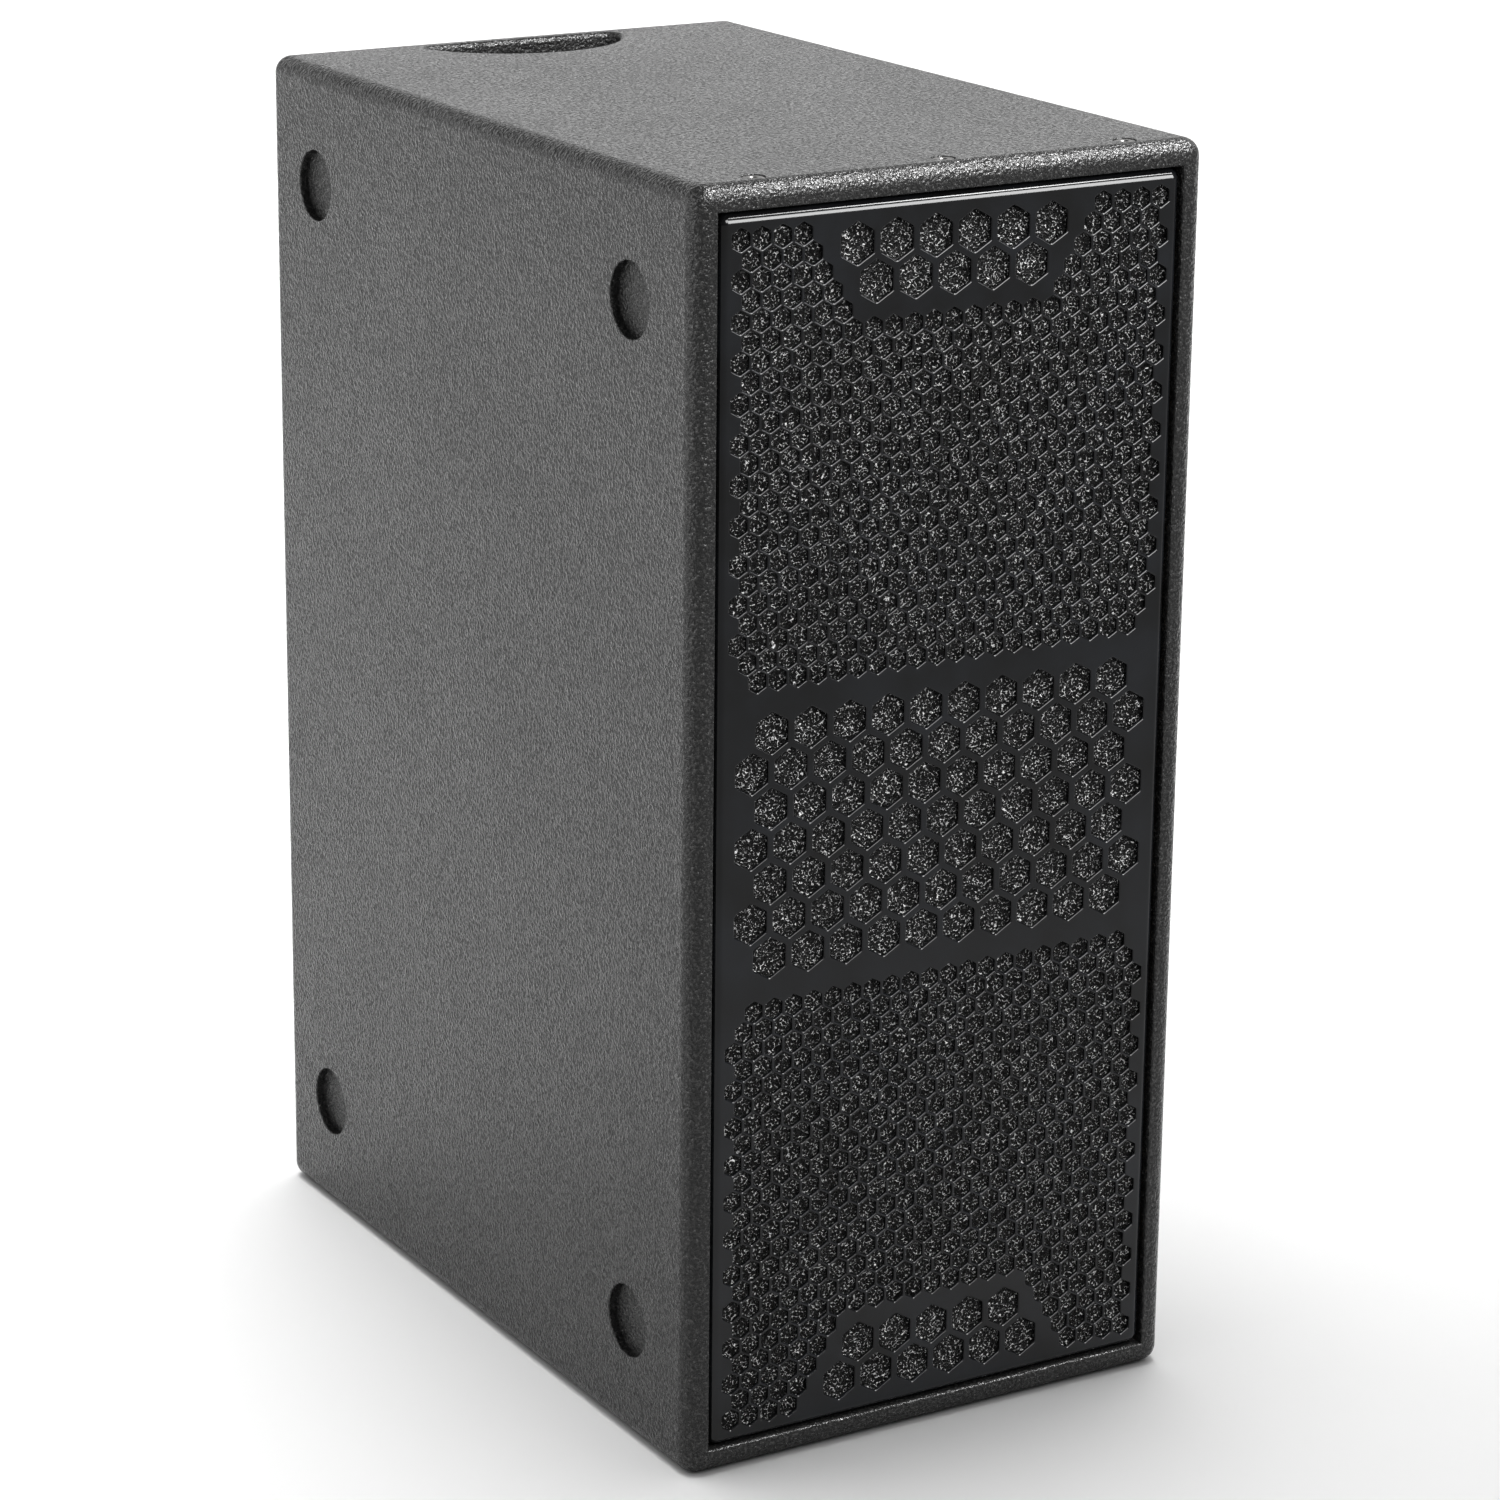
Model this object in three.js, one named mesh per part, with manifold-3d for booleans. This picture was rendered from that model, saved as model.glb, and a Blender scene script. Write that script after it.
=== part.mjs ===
// A portable bass cabinet: a rounded plywood box with a folded hexagon-hole grille,
// two 8 inch woofers, a central slot port, a hand slot, side feet and a rear input plate.
// Millimetres, +Z up, front towards -Y, origin at the centre of the bottom face.
import * as THREE from "three";
import { mergeVertices } from "three/addons/utils/BufferGeometryUtils.js";
import { RoundedBoxGeometry } from "three/addons/geometries/RoundedBoxGeometry.js";
import Module from "manifold-3d";

const wasm = await Module();
wasm.setup();

// Cabinet
const WIDTH = 280;
const DEPTH = 444;
const HEIGHT = 630;
const EDGE_RADIUS = 9;
const EDGE_SEGMENTS = 3;
const WALL = 12.5;
const CLEARANCE = 0.3;
// How far a cutter runs past the face it cuts
const PAST = 1;

const HALF_WIDTH = WIDTH / 2;
const FRONT = -DEPTH / 2;
const BACK = DEPTH / 2;
const MIDDLE = HEIGHT / 2;
const INNER_HALF_WIDTH = HALF_WIDTH - WALL;
const INNER_TOP = HEIGHT - WALL;

// Stacking recesses on the left side, and the feet on the right side that match them
const FOOT_FROM_FRONT = 59;
const FOOT_FROM_BACK = 53;
const FOOT_FROM_END = 61;
const RECESS_RADIUS = 18.25;
const RECESS_DEPTH = 4.5;
const FOOT_HEIGHT = 9;
const FOOT_BASE_RADIUS = 17;
const FOOT_TIP_RADIUS = 15.5;
const FOOT_BORE_RADIUS = 6;
const FOOT_BORE_DEPTH = 5;
const FOOT_SCREW_RADIUS = 2.1;
const FOOT_SCREW_GRIP = 10;
const FOOT_SCREW_HEAD_RADIUS = 4.5;
const FOOT_SCREW_HEAD_HEIGHT = 2.8;
const FOOT_SCREW_KEY_RADIUS = 1.6;

// Grille: a folded pan of sheet steel
const GRILLE_RECESS = 1;
const GRILLE_GAP = 1.25;
const SHEET = 1.5;
const FLANGE_DEPTH = 18;
const BIG_PITCH = 21.3;
const BIG_ACROSS_FLATS = 17.7;
const BIG_ROW_STEP = BIG_PITCH * Math.sqrt(3) / 2;
const BIG_MIDDLE_ROWS = 7;
const BIG_LONG_ROW = 11;
const PATCH_OUTER_ROW = 6;
const PATCH_OUTER_OFFSET = 282.2;
const FOAM_THICKNESS = 5;

// Grille screws
const SCREW_FROM_FRONT = 13.4;
const SCREW_SPACING = 101.7;
const SCREW_RADIUS = 2.5;
const SCREW_HEAD_RADIUS = 5.35;
const SCREW_HEAD_HEIGHT = 3;
const SCREW_SUNK = 0.4;
const SCREW_LENGTH = 18;
const SCREW_KEY_RADIUS = 1.75;
const KEY_DEPTH_SHARE = 0.6;

// Hand slot in the top panel, and the pocket below it
const SLOT_FROM_BACK = 15.5;
const SLOT_DEPTH = 46.5;
const SLOT_LENGTH = 118;
const SLOT_CORNER = 6;
const POCKET_UNDERCUT = 6;
const POCKET_WALL = 2.7;
const POCKET_DEPTH = 58;

// Baffle, port and drivers
const BAFFLE_FRONT = -180;
const BAFFLE_THICKNESS = 15;
const DRIVER_OFFSET = 186;
const DRIVER_HOLE_RADIUS = 93;
const PORT_HALF_WIDTH = 115;
const PORT_HALF_HEIGHT = 45;
const SHELF_END = 150;
const BOLT_CIRCLE_RADIUS = 98.5;
const BOLT_COUNT = 4;
const BOLT_RADIUS = 2.5;
const BOLT_HEAD_RADIUS = 4.3;
const BOLT_HEAD_HEIGHT = 3;
const BOLT_GRIP = 14;
const BOLT_KEY_RADIUS = 1.75;
const BASKET_RADIUS = 104;
const FLANGE_THICKNESS = 4;

// A driver's turned outlines: [radius, position] pairs, with 0 at the baffle's front and + to the back
const BASKET_OUTLINE = [
  [BASKET_RADIUS, -FLANGE_THICKNESS],
  [BASKET_RADIUS, 0],
  [92, 0],
  [90, 10],
  [60, 44],
  [60, 56],
  [26, 56],
  [26, 53],
  [50, 53],
  [50, 50],
  [57, 50],
  [57, 43.5],
  [86.5, 9.5],
  [86.5, -FLANGE_THICKNESS],
];
const VOICE_COIL_OUTLINE = [
  [18.6, 30], [19, 30], [19, 53], [19.8, 53], [19.8, 65], [19, 65], [19, 66], [18.6, 66],
];
const TOP_PLATE_OUTLINE = [[20.6, 56], [50, 56], [50, 62], [20.6, 62]];
const MAGNET_OUTLINE = [[27, 62], [60, 62], [60, 80], [27, 80]];
const BACK_PLATE_OUTLINE = [[6, 56], [17.8, 56], [17.8, 80], [50, 80], [50, 87], [6, 87]];

// The basket's four windows and its terminal block
const WINDOW_COUNT = 4;
const WINDOW_HALF_WIDTH = 24;
const WINDOW_START = 14;
const WINDOW_END = 38;
const WINDOW_INNER_RADIUS = 40;
const TERMINAL_RADIUS = 78;
const TERMINAL_HALF_WIDTH = 10;
const TERMINAL_HALF_HEIGHT = 5;
const TERMINAL_START = 24;
const TERMINAL_END = 34;

// The surround, cone, dust cap and spider, each a thin turned sheet
const THIN_SHEET_STEPS = 4;
const ROLL_RADIUS = 7;
const ROLL_CENTRE = 81;
const SURROUND_RADIUS = 93.5;
const SURROUND_THICKNESS = 0.8;
const SURROUND_LEG_END = 6;
const CONE_RIM_RADIUS = 73.2;
const CONE_RIM_DEPTH = 5;
const CONE_NECK_RADIUS = 19.4;
const CONE_NECK_DEPTH = 37;
const CONE_THICKNESS = 1.2;
const CONE_BOW = 4;
const CAP_RADIUS = 27;
const CAP_CREST = 14;
const CAP_HEIGHT = 9;
const CAP_THICKNESS = 0.8;
const SPIDER_INNER_RADIUS = 19.4;
const SPIDER_INNER_DEPTH = 41;
const SPIDER_OUTER_RADIUS = 49.5;
const SPIDER_OUTER_DEPTH = 48.5;
const SPIDER_SEAT_RADIUS = 56.5;
const SPIDER_RIDGE = 1.2;
const SPIDER_THICKNESS = 0.8;

// Rear input plate and its sockets
const PLATE_HEIGHT_ABOVE_FLOOR = 200;
const PLATE_HALF_WIDTH = 57;
const PLATE_HALF_HEIGHT = 33;
const PLATE_THICKNESS = 2;
const REBATE_DEPTH = 7;
const SOCKET_OFFSET = 24;
const SOCKET_BARREL_RADIUS = 14;
const SOCKET_FLANGE_RADIUS = 17;
const SOCKET_FLANGE_THICKNESS = 3;
const SOCKET_MOUTH_RADIUS = 11;
const SOCKET_MOUTH_DEPTH = 17;
const SOCKET_LENGTH = 30;
const SOCKET_KEY_POST_RADIUS = 4;
const SOCKET_KEY_POST_HEIGHT = 6;
const PLATE_SCREW_X = 50;
const PLATE_SCREW_Z = 26;
const PLATE_SCREW_RADIUS = 1.7;
const PLATE_SCREW_HEAD_RADIUS = 3.6;
const PLATE_SCREW_HEAD_HEIGHT = 2;
const PLATE_SCREW_KEY_RADIUS = 1.2;
const PLATE_SCREW_GRIP = 5;
const LEAD_RADIUS = 2.5;
const LEAD_GAP = 0.8;
const LEAD_FACETS = 4;
const LEAD_STEP = 15;

// Facets round a circle, by size
const LARGE_FACETS = 20;
const MEDIUM_FACETS = 16;
const SMALL_FACETS = 8;
const HEX_SIDES = 6;

// ---------- solids ----------

/** A closed geometry as a solid for joining and cutting. */
function solid(geometry) {
  const bare = geometry.clone();
  bare.deleteAttribute("normal");
  bare.deleteAttribute("uv");
  const merged = mergeVertices(bare, 1e-3);
  return new wasm.Manifold(new wasm.Mesh({
    numProp: 3,
    vertProperties: new Float32Array(merged.attributes.position.array),
    triVerts: new Uint32Array(merged.index.array),
  }));
}

/** A solid's surface as a geometry. */
function surface(body) {
  const mesh = body.getMesh();
  const geometry = new THREE.BufferGeometry();
  geometry.setAttribute("position", new THREE.BufferAttribute(mesh.vertProperties, 3));
  geometry.setIndex(new THREE.BufferAttribute(mesh.triVerts, 1));
  return geometry;
}

/** body with every geometry in cutters taken away. */
function cut(body, cutters) {
  return cutters.reduce((rest, cutter) => rest.subtract(solid(cutter)), body);
}

/** A box between two corners. */
function block([x0, y0, z0], [x1, y1, z1]) {
  const box = new THREE.BoxGeometry(x1 - x0, y1 - y0, z1 - z0);
  return box.translate((x0 + x1) / 2, (y0 + y1) / 2, (z0 + z1) / 2);
}

/** Turns a geometry made along +Y so that it points along direction, a unit axis. */
function aimed(geometry, direction) {
  const along = new THREE.Vector3(...direction);
  const side = new THREE.Vector3(along.y, along.z, along.x);
  const third = new THREE.Vector3().crossVectors(side, along);
  return geometry.applyMatrix4(new THREE.Matrix4().makeBasis(side, along, third));
}

/** A cylinder from a point along a unit axis. */
function rod(radius, length, [x, y, z], direction, facets = SMALL_FACETS) {
  const cylinder = new THREE.CylinderGeometry(radius, radius, length, facets);
  return aimed(cylinder.translate(0, length / 2, 0), direction).translate(x, y, z);
}

/** A turned shape: its outline is [radius, position] pairs, anticlockwise, about the Y axis. */
function turned(outline, facets = LARGE_FACETS, closed = true) {
  const points = outline.map(([radius, along]) => new THREE.Vector2(radius, along));
  if (closed) points.push(points[0].clone());
  return new THREE.LatheGeometry(points, facets);
}

/** A mesh with its own material. */
function part(name, geometry, [colour, roughness, metalness]) {
  const material = new THREE.MeshStandardMaterial({ color: colour, roughness, metalness });
  const mesh = new THREE.Mesh(geometry, material);
  mesh.name = name;
  return mesh;
}

const PAINT = [0x2f3033, 0.8, 0];
const BARE_PLY = [0xb08f62, 0.8, 0];
const BLACK_STEEL = [0x0d0e10, 0.35, 0.2];
const FOAM = [0x17181a, 1, 0];
const DARK_SCREW = [0x3a3b3d, 0.35, 1];
const RUBBER = [0x141414, 0.9, 0];
const BLACK_PLASTIC = [0x1a1a1b, 0.6, 0];
const CAST_FRAME = [0x1c1c1d, 0.5, 0.6];
const PAPER = [0x222222, 0.95, 0];
const CLOTH = [0x9c7b3c, 0.95, 0];
const ZINC = [0xa8aaac, 0.35, 1];
const FERRITE = [0x2b2b2d, 0.7, 0];
const COPPER = [0xa4623a, 0.4, 0.9];

// ---------- cabinet panels ----------

/** The whole cabinet as one rounded block, from which each panel is taken. */
function roundedBlock() {
  const box = new RoundedBoxGeometry(WIDTH, DEPTH, HEIGHT, EDGE_SEGMENTS, EDGE_RADIUS);
  return solid(box.translate(0, 0, MIDDLE));
}

/** The stretch of the rounded block between two corners. */
function panelBlank(low, high) {
  return roundedBlock().intersect(solid(block(low, high)));
}

/** The four [y, z] places of the recesses and of the feet. */
function footPlaces() {
  const places = [];
  for (const y of [FRONT + FOOT_FROM_FRONT, BACK - FOOT_FROM_BACK]) {
    for (const z of [FOOT_FROM_END, HEIGHT - FOOT_FROM_END]) places.push([y, z]);
  }
  return places;
}

function leftPanel() {
  const blank = panelBlank([-HALF_WIDTH, FRONT, 0], [-INNER_HALF_WIDTH, BACK, HEIGHT]);
  const recesses = footPlaces().map(([y, z]) =>
    rod(RECESS_RADIUS, 2 * RECESS_DEPTH, [-HALF_WIDTH - RECESS_DEPTH, y, z], [1, 0, 0], LARGE_FACETS));
  return surface(cut(blank, recesses));
}

function rightPanel() {
  const blank = panelBlank([INNER_HALF_WIDTH, FRONT, 0], [HALF_WIDTH, BACK, HEIGHT]);
  const length = FOOT_SCREW_GRIP + 2 * CLEARANCE;
  const start = HALF_WIDTH - FOOT_SCREW_GRIP - CLEARANCE;
  const holes = footPlaces().map(([y, z]) =>
    rod(FOOT_SCREW_RADIUS + CLEARANCE, length, [start, y, z], [1, 0, 0]));
  return surface(cut(blank, holes));
}

const SCREW_PLACES = [-SCREW_SPACING, 0, SCREW_SPACING];

/** The counterbored holes for the grille screws, from the outside of a panel inwards. */
function screwCuts(outside, inward) {
  const y = FRONT + SCREW_FROM_FRONT;
  const above = outside - inward;
  const bore = SCREW_HEAD_HEIGHT + SCREW_SUNK + PAST;
  return SCREW_PLACES.flatMap((x) => [
    rod(SCREW_RADIUS + CLEARANCE, 2 * WALL, [x, y, above], [0, 0, inward]),
    rod(SCREW_HEAD_RADIUS + CLEARANCE, bore, [x, y, above], [0, 0, inward], MEDIUM_FACETS),
  ]);
}

/** A D outline: a flat side of the hand slot towards the back, and a round side grown by grow. */
function slotOutline(grow, flatSide, corner) {
  const half = SLOT_LENGTH / 2;
  const slotRadius = (half * half + SLOT_DEPTH * SLOT_DEPTH) / (2 * SLOT_DEPTH);
  const centre = BACK - SLOT_FROM_BACK - SLOT_DEPTH + slotRadius;
  const radius = slotRadius + grow;
  const cornerY = flatSide - corner;
  const cornerX = Math.sqrt((radius - corner) ** 2 - (cornerY - centre) ** 2);
  const angle = Math.atan2(cornerY - centre, cornerX);
  const outline = new THREE.Shape();
  outline.absarc(cornerX, cornerY, corner, angle, Math.PI / 2, false);
  outline.absarc(-cornerX, cornerY, corner, Math.PI / 2, Math.PI - angle, false);
  outline.absarc(0, centre, radius, Math.PI - angle, 2 * Math.PI + angle, false);
  return outline;
}

/** The D outline as an upright prism between two heights. */
function slotPrism(grow, flatSide, corner, low, high) {
  const options = { depth: high - low, bevelEnabled: false, curveSegments: SMALL_FACETS };
  const prism = new THREE.ExtrudeGeometry(slotOutline(grow, flatSide, corner), options);
  return prism.translate(0, 0, low);
}

function topPanel() {
  const blank = panelBlank([-INNER_HALF_WIDTH, FRONT, INNER_TOP], [INNER_HALF_WIDTH, BACK, HEIGHT]);
  const flatSide = BACK - SLOT_FROM_BACK;
  const slot = slotPrism(0, flatSide, SLOT_CORNER, INNER_TOP - PAST, HEIGHT + PAST);
  return surface(cut(blank, [slot, ...screwCuts(HEIGHT, -1)]));
}

function bottomPanel() {
  const blank = panelBlank([-INNER_HALF_WIDTH, FRONT, 0], [INNER_HALF_WIDTH, BACK, WALL]);
  return surface(cut(blank, screwCuts(0, 1)));
}

/** A cup under the hand slot, wider than the slot towards the front so that fingers hook in. */
function handlePocket() {
  const flatSide = BACK - SLOT_FROM_BACK;
  const low = INNER_TOP - POCKET_DEPTH;
  const grown = POCKET_UNDERCUT + POCKET_WALL;
  const outer = slotPrism(grown, flatSide + POCKET_WALL, SLOT_CORNER, low, INNER_TOP);
  const hollow = slotPrism(POCKET_UNDERCUT, flatSide, SLOT_CORNER, low + POCKET_WALL, INNER_TOP + PAST);
  return surface(cut(solid(outer), [hollow]));
}

function rearPanel() {
  const blank = solid(block([-INNER_HALF_WIDTH, BACK - WALL, WALL], [INNER_HALF_WIDTH, BACK, INNER_TOP]));
  const z = PLATE_HEIGHT_ABOVE_FLOOR;
  const rebateFloor = BACK - REBATE_DEPTH;
  const rebate = block(
    [-PLATE_HALF_WIDTH - CLEARANCE, rebateFloor, z - PLATE_HALF_HEIGHT - CLEARANCE],
    [PLATE_HALF_WIDTH + CLEARANCE, BACK + PAST, z + PLATE_HALF_HEIGHT + CLEARANCE],
  );
  const inside = BACK - WALL - PAST;
  const bores = [-SOCKET_OFFSET, SOCKET_OFFSET].map((x) =>
    rod(SOCKET_BARREL_RADIUS + CLEARANCE, WALL, [x, inside, z], [0, 1, 0], MEDIUM_FACETS));
  const pilots = plateScrewPlaces().map(([x, height]) =>
    rod(PLATE_SCREW_RADIUS + CLEARANCE, WALL, [x, inside, height], [0, 1, 0]));
  return surface(cut(blank, [rebate, ...bores, ...pilots]));
}

// ---------- baffle and port ----------

/** The [x, z] places of one driver's bolts round its axis. */
function boltPlaces() {
  return Array.from({ length: BOLT_COUNT }, (_, index) => {
    const angle = (index + 0.5) * 2 * Math.PI / BOLT_COUNT;
    return [BOLT_CIRCLE_RADIUS * Math.cos(angle), BOLT_CIRCLE_RADIUS * Math.sin(angle)];
  });
}

function baffle() {
  const back = BAFFLE_FRONT + BAFFLE_THICKNESS;
  const through = BAFFLE_THICKNESS + 2 * PAST;
  const start = BAFFLE_FRONT - PAST;
  const blank = solid(block([-INNER_HALF_WIDTH, BAFFLE_FRONT, WALL], [INNER_HALF_WIDTH, back, INNER_TOP]));
  const cuts = [block(
    [-PORT_HALF_WIDTH, start, MIDDLE - PORT_HALF_HEIGHT],
    [PORT_HALF_WIDTH, back + PAST, MIDDLE + PORT_HALF_HEIGHT],
  )];
  for (const z of [MIDDLE - DRIVER_OFFSET, MIDDLE + DRIVER_OFFSET]) {
    cuts.push(rod(DRIVER_HOLE_RADIUS, through, [0, start, z], [0, 1, 0], LARGE_FACETS));
    for (const [x, up] of boltPlaces()) {
      cuts.push(rod(BOLT_RADIUS + CLEARANCE, through, [x, start, z + up], [0, 1, 0]));
    }
  }
  return surface(cut(blank, cuts));
}

/** A shelf of the central duct; side is 1 above the port and -1 below it. */
function portShelf(side) {
  const near = MIDDLE + side * PORT_HALF_HEIGHT;
  const far = near + side * WALL;
  const start = BAFFLE_FRONT + BAFFLE_THICKNESS;
  return block(
    [-INNER_HALF_WIDTH, start, Math.min(near, far)],
    [INNER_HALF_WIDTH, SHELF_END, Math.max(near, far)],
  );
}

// ---------- grille ----------

/** The [x, z] centres of a centred row of count holes. */
function holeRow(count, z) {
  return Array.from({ length: count }, (_, index) => [(index - (count - 1) / 2) * BIG_PITCH, z]);
}

/** The centres of all the large hexagons: seven middle rows, and two rows at each end. */
function bigHoles() {
  const centres = [];
  for (let row = 0; row < BIG_MIDDLE_ROWS; row += 1) {
    const offset = row - (BIG_MIDDLE_ROWS - 1) / 2;
    centres.push(...holeRow(BIG_LONG_ROW - 1 + (row % 2), MIDDLE + offset * BIG_ROW_STEP));
  }
  for (const end of [-1, 1]) {
    centres.push(...holeRow(PATCH_OUTER_ROW, MIDDLE + end * PATCH_OUTER_OFFSET));
    centres.push(...holeRow(PATCH_OUTER_ROW - 1, MIDDLE + end * (PATCH_OUTER_OFFSET - BIG_ROW_STEP)));
  }
  return centres;
}

/** The grille's front face as a shape with its hexagons, corners up and down. */
function grilleFace(halfWidth, halfHeight) {
  const face = new THREE.Shape();
  face.moveTo(-halfWidth, MIDDLE - halfHeight);
  face.lineTo(halfWidth, MIDDLE - halfHeight);
  face.lineTo(halfWidth, MIDDLE + halfHeight);
  face.lineTo(-halfWidth, MIDDLE + halfHeight);
  face.closePath();
  const cornerRadius = BIG_ACROSS_FLATS / Math.sqrt(3);
  for (const [x, z] of bigHoles()) {
    const corners = Array.from({ length: HEX_SIDES }, (_, index) => {
      const angle = Math.PI / 2 + index * 2 * Math.PI / HEX_SIDES;
      return new THREE.Vector2(x + cornerRadius * Math.cos(angle), z + cornerRadius * Math.sin(angle));
    });
    face.holes.push(new THREE.Path(corners));
  }
  return face;
}

function grille() {
  const front = FRONT + GRILLE_RECESS;
  const halfWidth = INNER_HALF_WIDTH - GRILLE_GAP;
  const halfHeight = MIDDLE - WALL - GRILLE_GAP;
  const face = grilleFace(halfWidth, halfHeight);
  const plate = new THREE.ExtrudeGeometry(face, { depth: SHEET, bevelEnabled: false });
  // The face is drawn in X and Y, so it is turned to stand in X and Z with its front towards -Y.
  plate.rotateX(Math.PI / 2).translate(0, front + SHEET, 0);
  const frame = solid(block(
    [-halfWidth, front + SHEET / 2, MIDDLE - halfHeight],
    [halfWidth, front + FLANGE_DEPTH, MIDDLE + halfHeight],
  ));
  const hollow = block(
    [-halfWidth + SHEET, front, MIDDLE - halfHeight + SHEET],
    [halfWidth - SHEET, front + FLANGE_DEPTH + PAST, MIDDLE + halfHeight - SHEET],
  );
  const y = FRONT + SCREW_FROM_FRONT;
  const through = HEIGHT + 2 * PAST;
  const holes = SCREW_PLACES.map((x) => rod(SCREW_RADIUS + CLEARANCE, through, [x, y, -PAST], [0, 0, 1]));
  return surface(cut(frame, [hollow, ...holes]).add(solid(plate)));
}

function grilleFoam() {
  const front = FRONT + GRILLE_RECESS + SHEET;
  const halfWidth = INNER_HALF_WIDTH - GRILLE_GAP - SHEET - CLEARANCE;
  const halfHeight = MIDDLE - WALL - GRILLE_GAP - SHEET - CLEARANCE;
  return block(
    [-halfWidth, front, MIDDLE - halfHeight],
    [halfWidth, front + FOAM_THICKNESS, MIDDLE + halfHeight],
  );
}

/** A cap screw along +Y with its tip at the origin and a hexagonal key hole in its head. */
function capScrew(radius, length, headRadius, headHeight, keyRadius) {
  const body = solid(turned([
    [0, 0],
    [radius, 0],
    [radius, length],
    [headRadius, length],
    [headRadius, length + headHeight],
    [0, length + headHeight],
  ], SMALL_FACETS, false));
  const keyDepth = headHeight * KEY_DEPTH_SHARE;
  const key = rod(keyRadius, headHeight, [0, length + headHeight - keyDepth, 0], [0, 1, 0], HEX_SIDES);
  return surface(cut(body, [key]));
}

/** The grille screws of one end; up is 1 for the top panel and -1 for the bottom one. */
function grilleScrews(end, up) {
  const group = new THREE.Group();
  const headTop = (up > 0 ? HEIGHT : 0) - up * SCREW_SUNK;
  const reach = SCREW_LENGTH + SCREW_HEAD_HEIGHT;
  SCREW_PLACES.forEach((x, index) => {
    const shape = capScrew(
      SCREW_RADIUS, SCREW_LENGTH, SCREW_HEAD_RADIUS, SCREW_HEAD_HEIGHT, SCREW_KEY_RADIUS);
    const screw = part(`grille_screw_${end}_${index + 1}`, aimed(shape, [0, 0, up]), DARK_SCREW);
    screw.position.set(x, FRONT + SCREW_FROM_FRONT, headTop - up * reach);
    group.add(screw);
  });
  return group;
}

// ---------- feet ----------

function foot() {
  return turned([
    [FOOT_SCREW_RADIUS + CLEARANCE, 0],
    [FOOT_BASE_RADIUS, 0],
    [FOOT_TIP_RADIUS, FOOT_HEIGHT],
    [FOOT_BORE_RADIUS, FOOT_HEIGHT],
    [FOOT_BORE_RADIUS, FOOT_HEIGHT - FOOT_BORE_DEPTH],
    [FOOT_SCREW_RADIUS + CLEARANCE, FOOT_HEIGHT - FOOT_BORE_DEPTH],
  ], MEDIUM_FACETS);
}

function feet() {
  const group = new THREE.Group();
  const shank = FOOT_SCREW_GRIP + FOOT_HEIGHT - FOOT_BORE_DEPTH;
  footPlaces().forEach(([y, z], index) => {
    const pad = part(`foot_${index + 1}`, aimed(foot(), [1, 0, 0]), RUBBER);
    const shape = capScrew(
      FOOT_SCREW_RADIUS, shank, FOOT_SCREW_HEAD_RADIUS, FOOT_SCREW_HEAD_HEIGHT, FOOT_SCREW_KEY_RADIUS);
    const screw = part(`foot_screw_${index + 1}`, aimed(shape, [1, 0, 0]), ZINC);
    pad.position.set(HALF_WIDTH, y, z);
    screw.position.set(HALF_WIDTH - FOOT_SCREW_GRIP, y, z);
    group.add(pad, screw);
  });
  return group;
}

// ---------- drivers: turned about Y, with 0 at the baffle's front and + to the back ----------

/** The pressed frame: a flange, a cone-shaped wall with four windows, a spider ledge and a seat. */
function basket(towardsMiddle) {
  const cuts = boltPlaces().map(([x, z]) =>
    rod(BOLT_RADIUS + CLEARANCE, FLANGE_THICKNESS + 2 * PAST, [x, -FLANGE_THICKNESS - PAST, z], [0, 1, 0]));
  for (let index = 0; index < WINDOW_COUNT; index += 1) {
    const window = block(
      [-WINDOW_HALF_WIDTH, WINDOW_START, WINDOW_INNER_RADIUS],
      [WINDOW_HALF_WIDTH, WINDOW_END, BASKET_RADIUS],
    );
    cuts.push(window.rotateY((index + 0.5) * 2 * Math.PI / WINDOW_COUNT));
  }
  const terminal = block(
    [-TERMINAL_HALF_WIDTH, TERMINAL_START, -TERMINAL_HALF_HEIGHT],
    [TERMINAL_HALF_WIDTH, TERMINAL_END, TERMINAL_HALF_HEIGHT],
  ).translate(0, 0, towardsMiddle * TERMINAL_RADIUS);
  return surface(cut(solid(turned(BASKET_OUTLINE)), cuts).add(solid(terminal)));
}

/** A thin turned sheet: its front face's outline, and the same line moved back by its thickness. */
function thinSheet(face, thickness, closed = true) {
  const back = face.map(([radius, depth]) => [radius, depth + thickness]).reverse();
  return turned([...face, ...back], LARGE_FACETS, closed);
}

/** The points of a line at even shares from 0 to 1. */
function sampled(point) {
  return Array.from({ length: THIN_SHEET_STEPS + 1 }, (_, step) => point(step / THIN_SHEET_STEPS, step));
}

/** The number a share of the way from one to another. */
function between(from, to, share) {
  return from + (to - from) * share;
}

/** A half-roll rubber edge whose inner leg runs back to the cone. */
function surround() {
  const seat = -FLANGE_THICKNESS;
  const crestSide = seat - SURROUND_THICKNESS;
  const halfRoll = (radius) => sampled((share) => [
    ROLL_CENTRE + radius * Math.cos(Math.PI * share),
    crestSide - radius * Math.sin(Math.PI * share),
  ]);
  const outline = [
    [ROLL_CENTRE + ROLL_RADIUS, seat],
    [SURROUND_RADIUS, seat],
    [SURROUND_RADIUS, crestSide],
    ...halfRoll(ROLL_RADIUS + SURROUND_THICKNESS),
    [ROLL_CENTRE - ROLL_RADIUS - SURROUND_THICKNESS, SURROUND_LEG_END],
    [ROLL_CENTRE - ROLL_RADIUS, SURROUND_LEG_END],
    ...halfRoll(ROLL_RADIUS).reverse(),
  ];
  return turned(outline.reverse());
}

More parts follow.
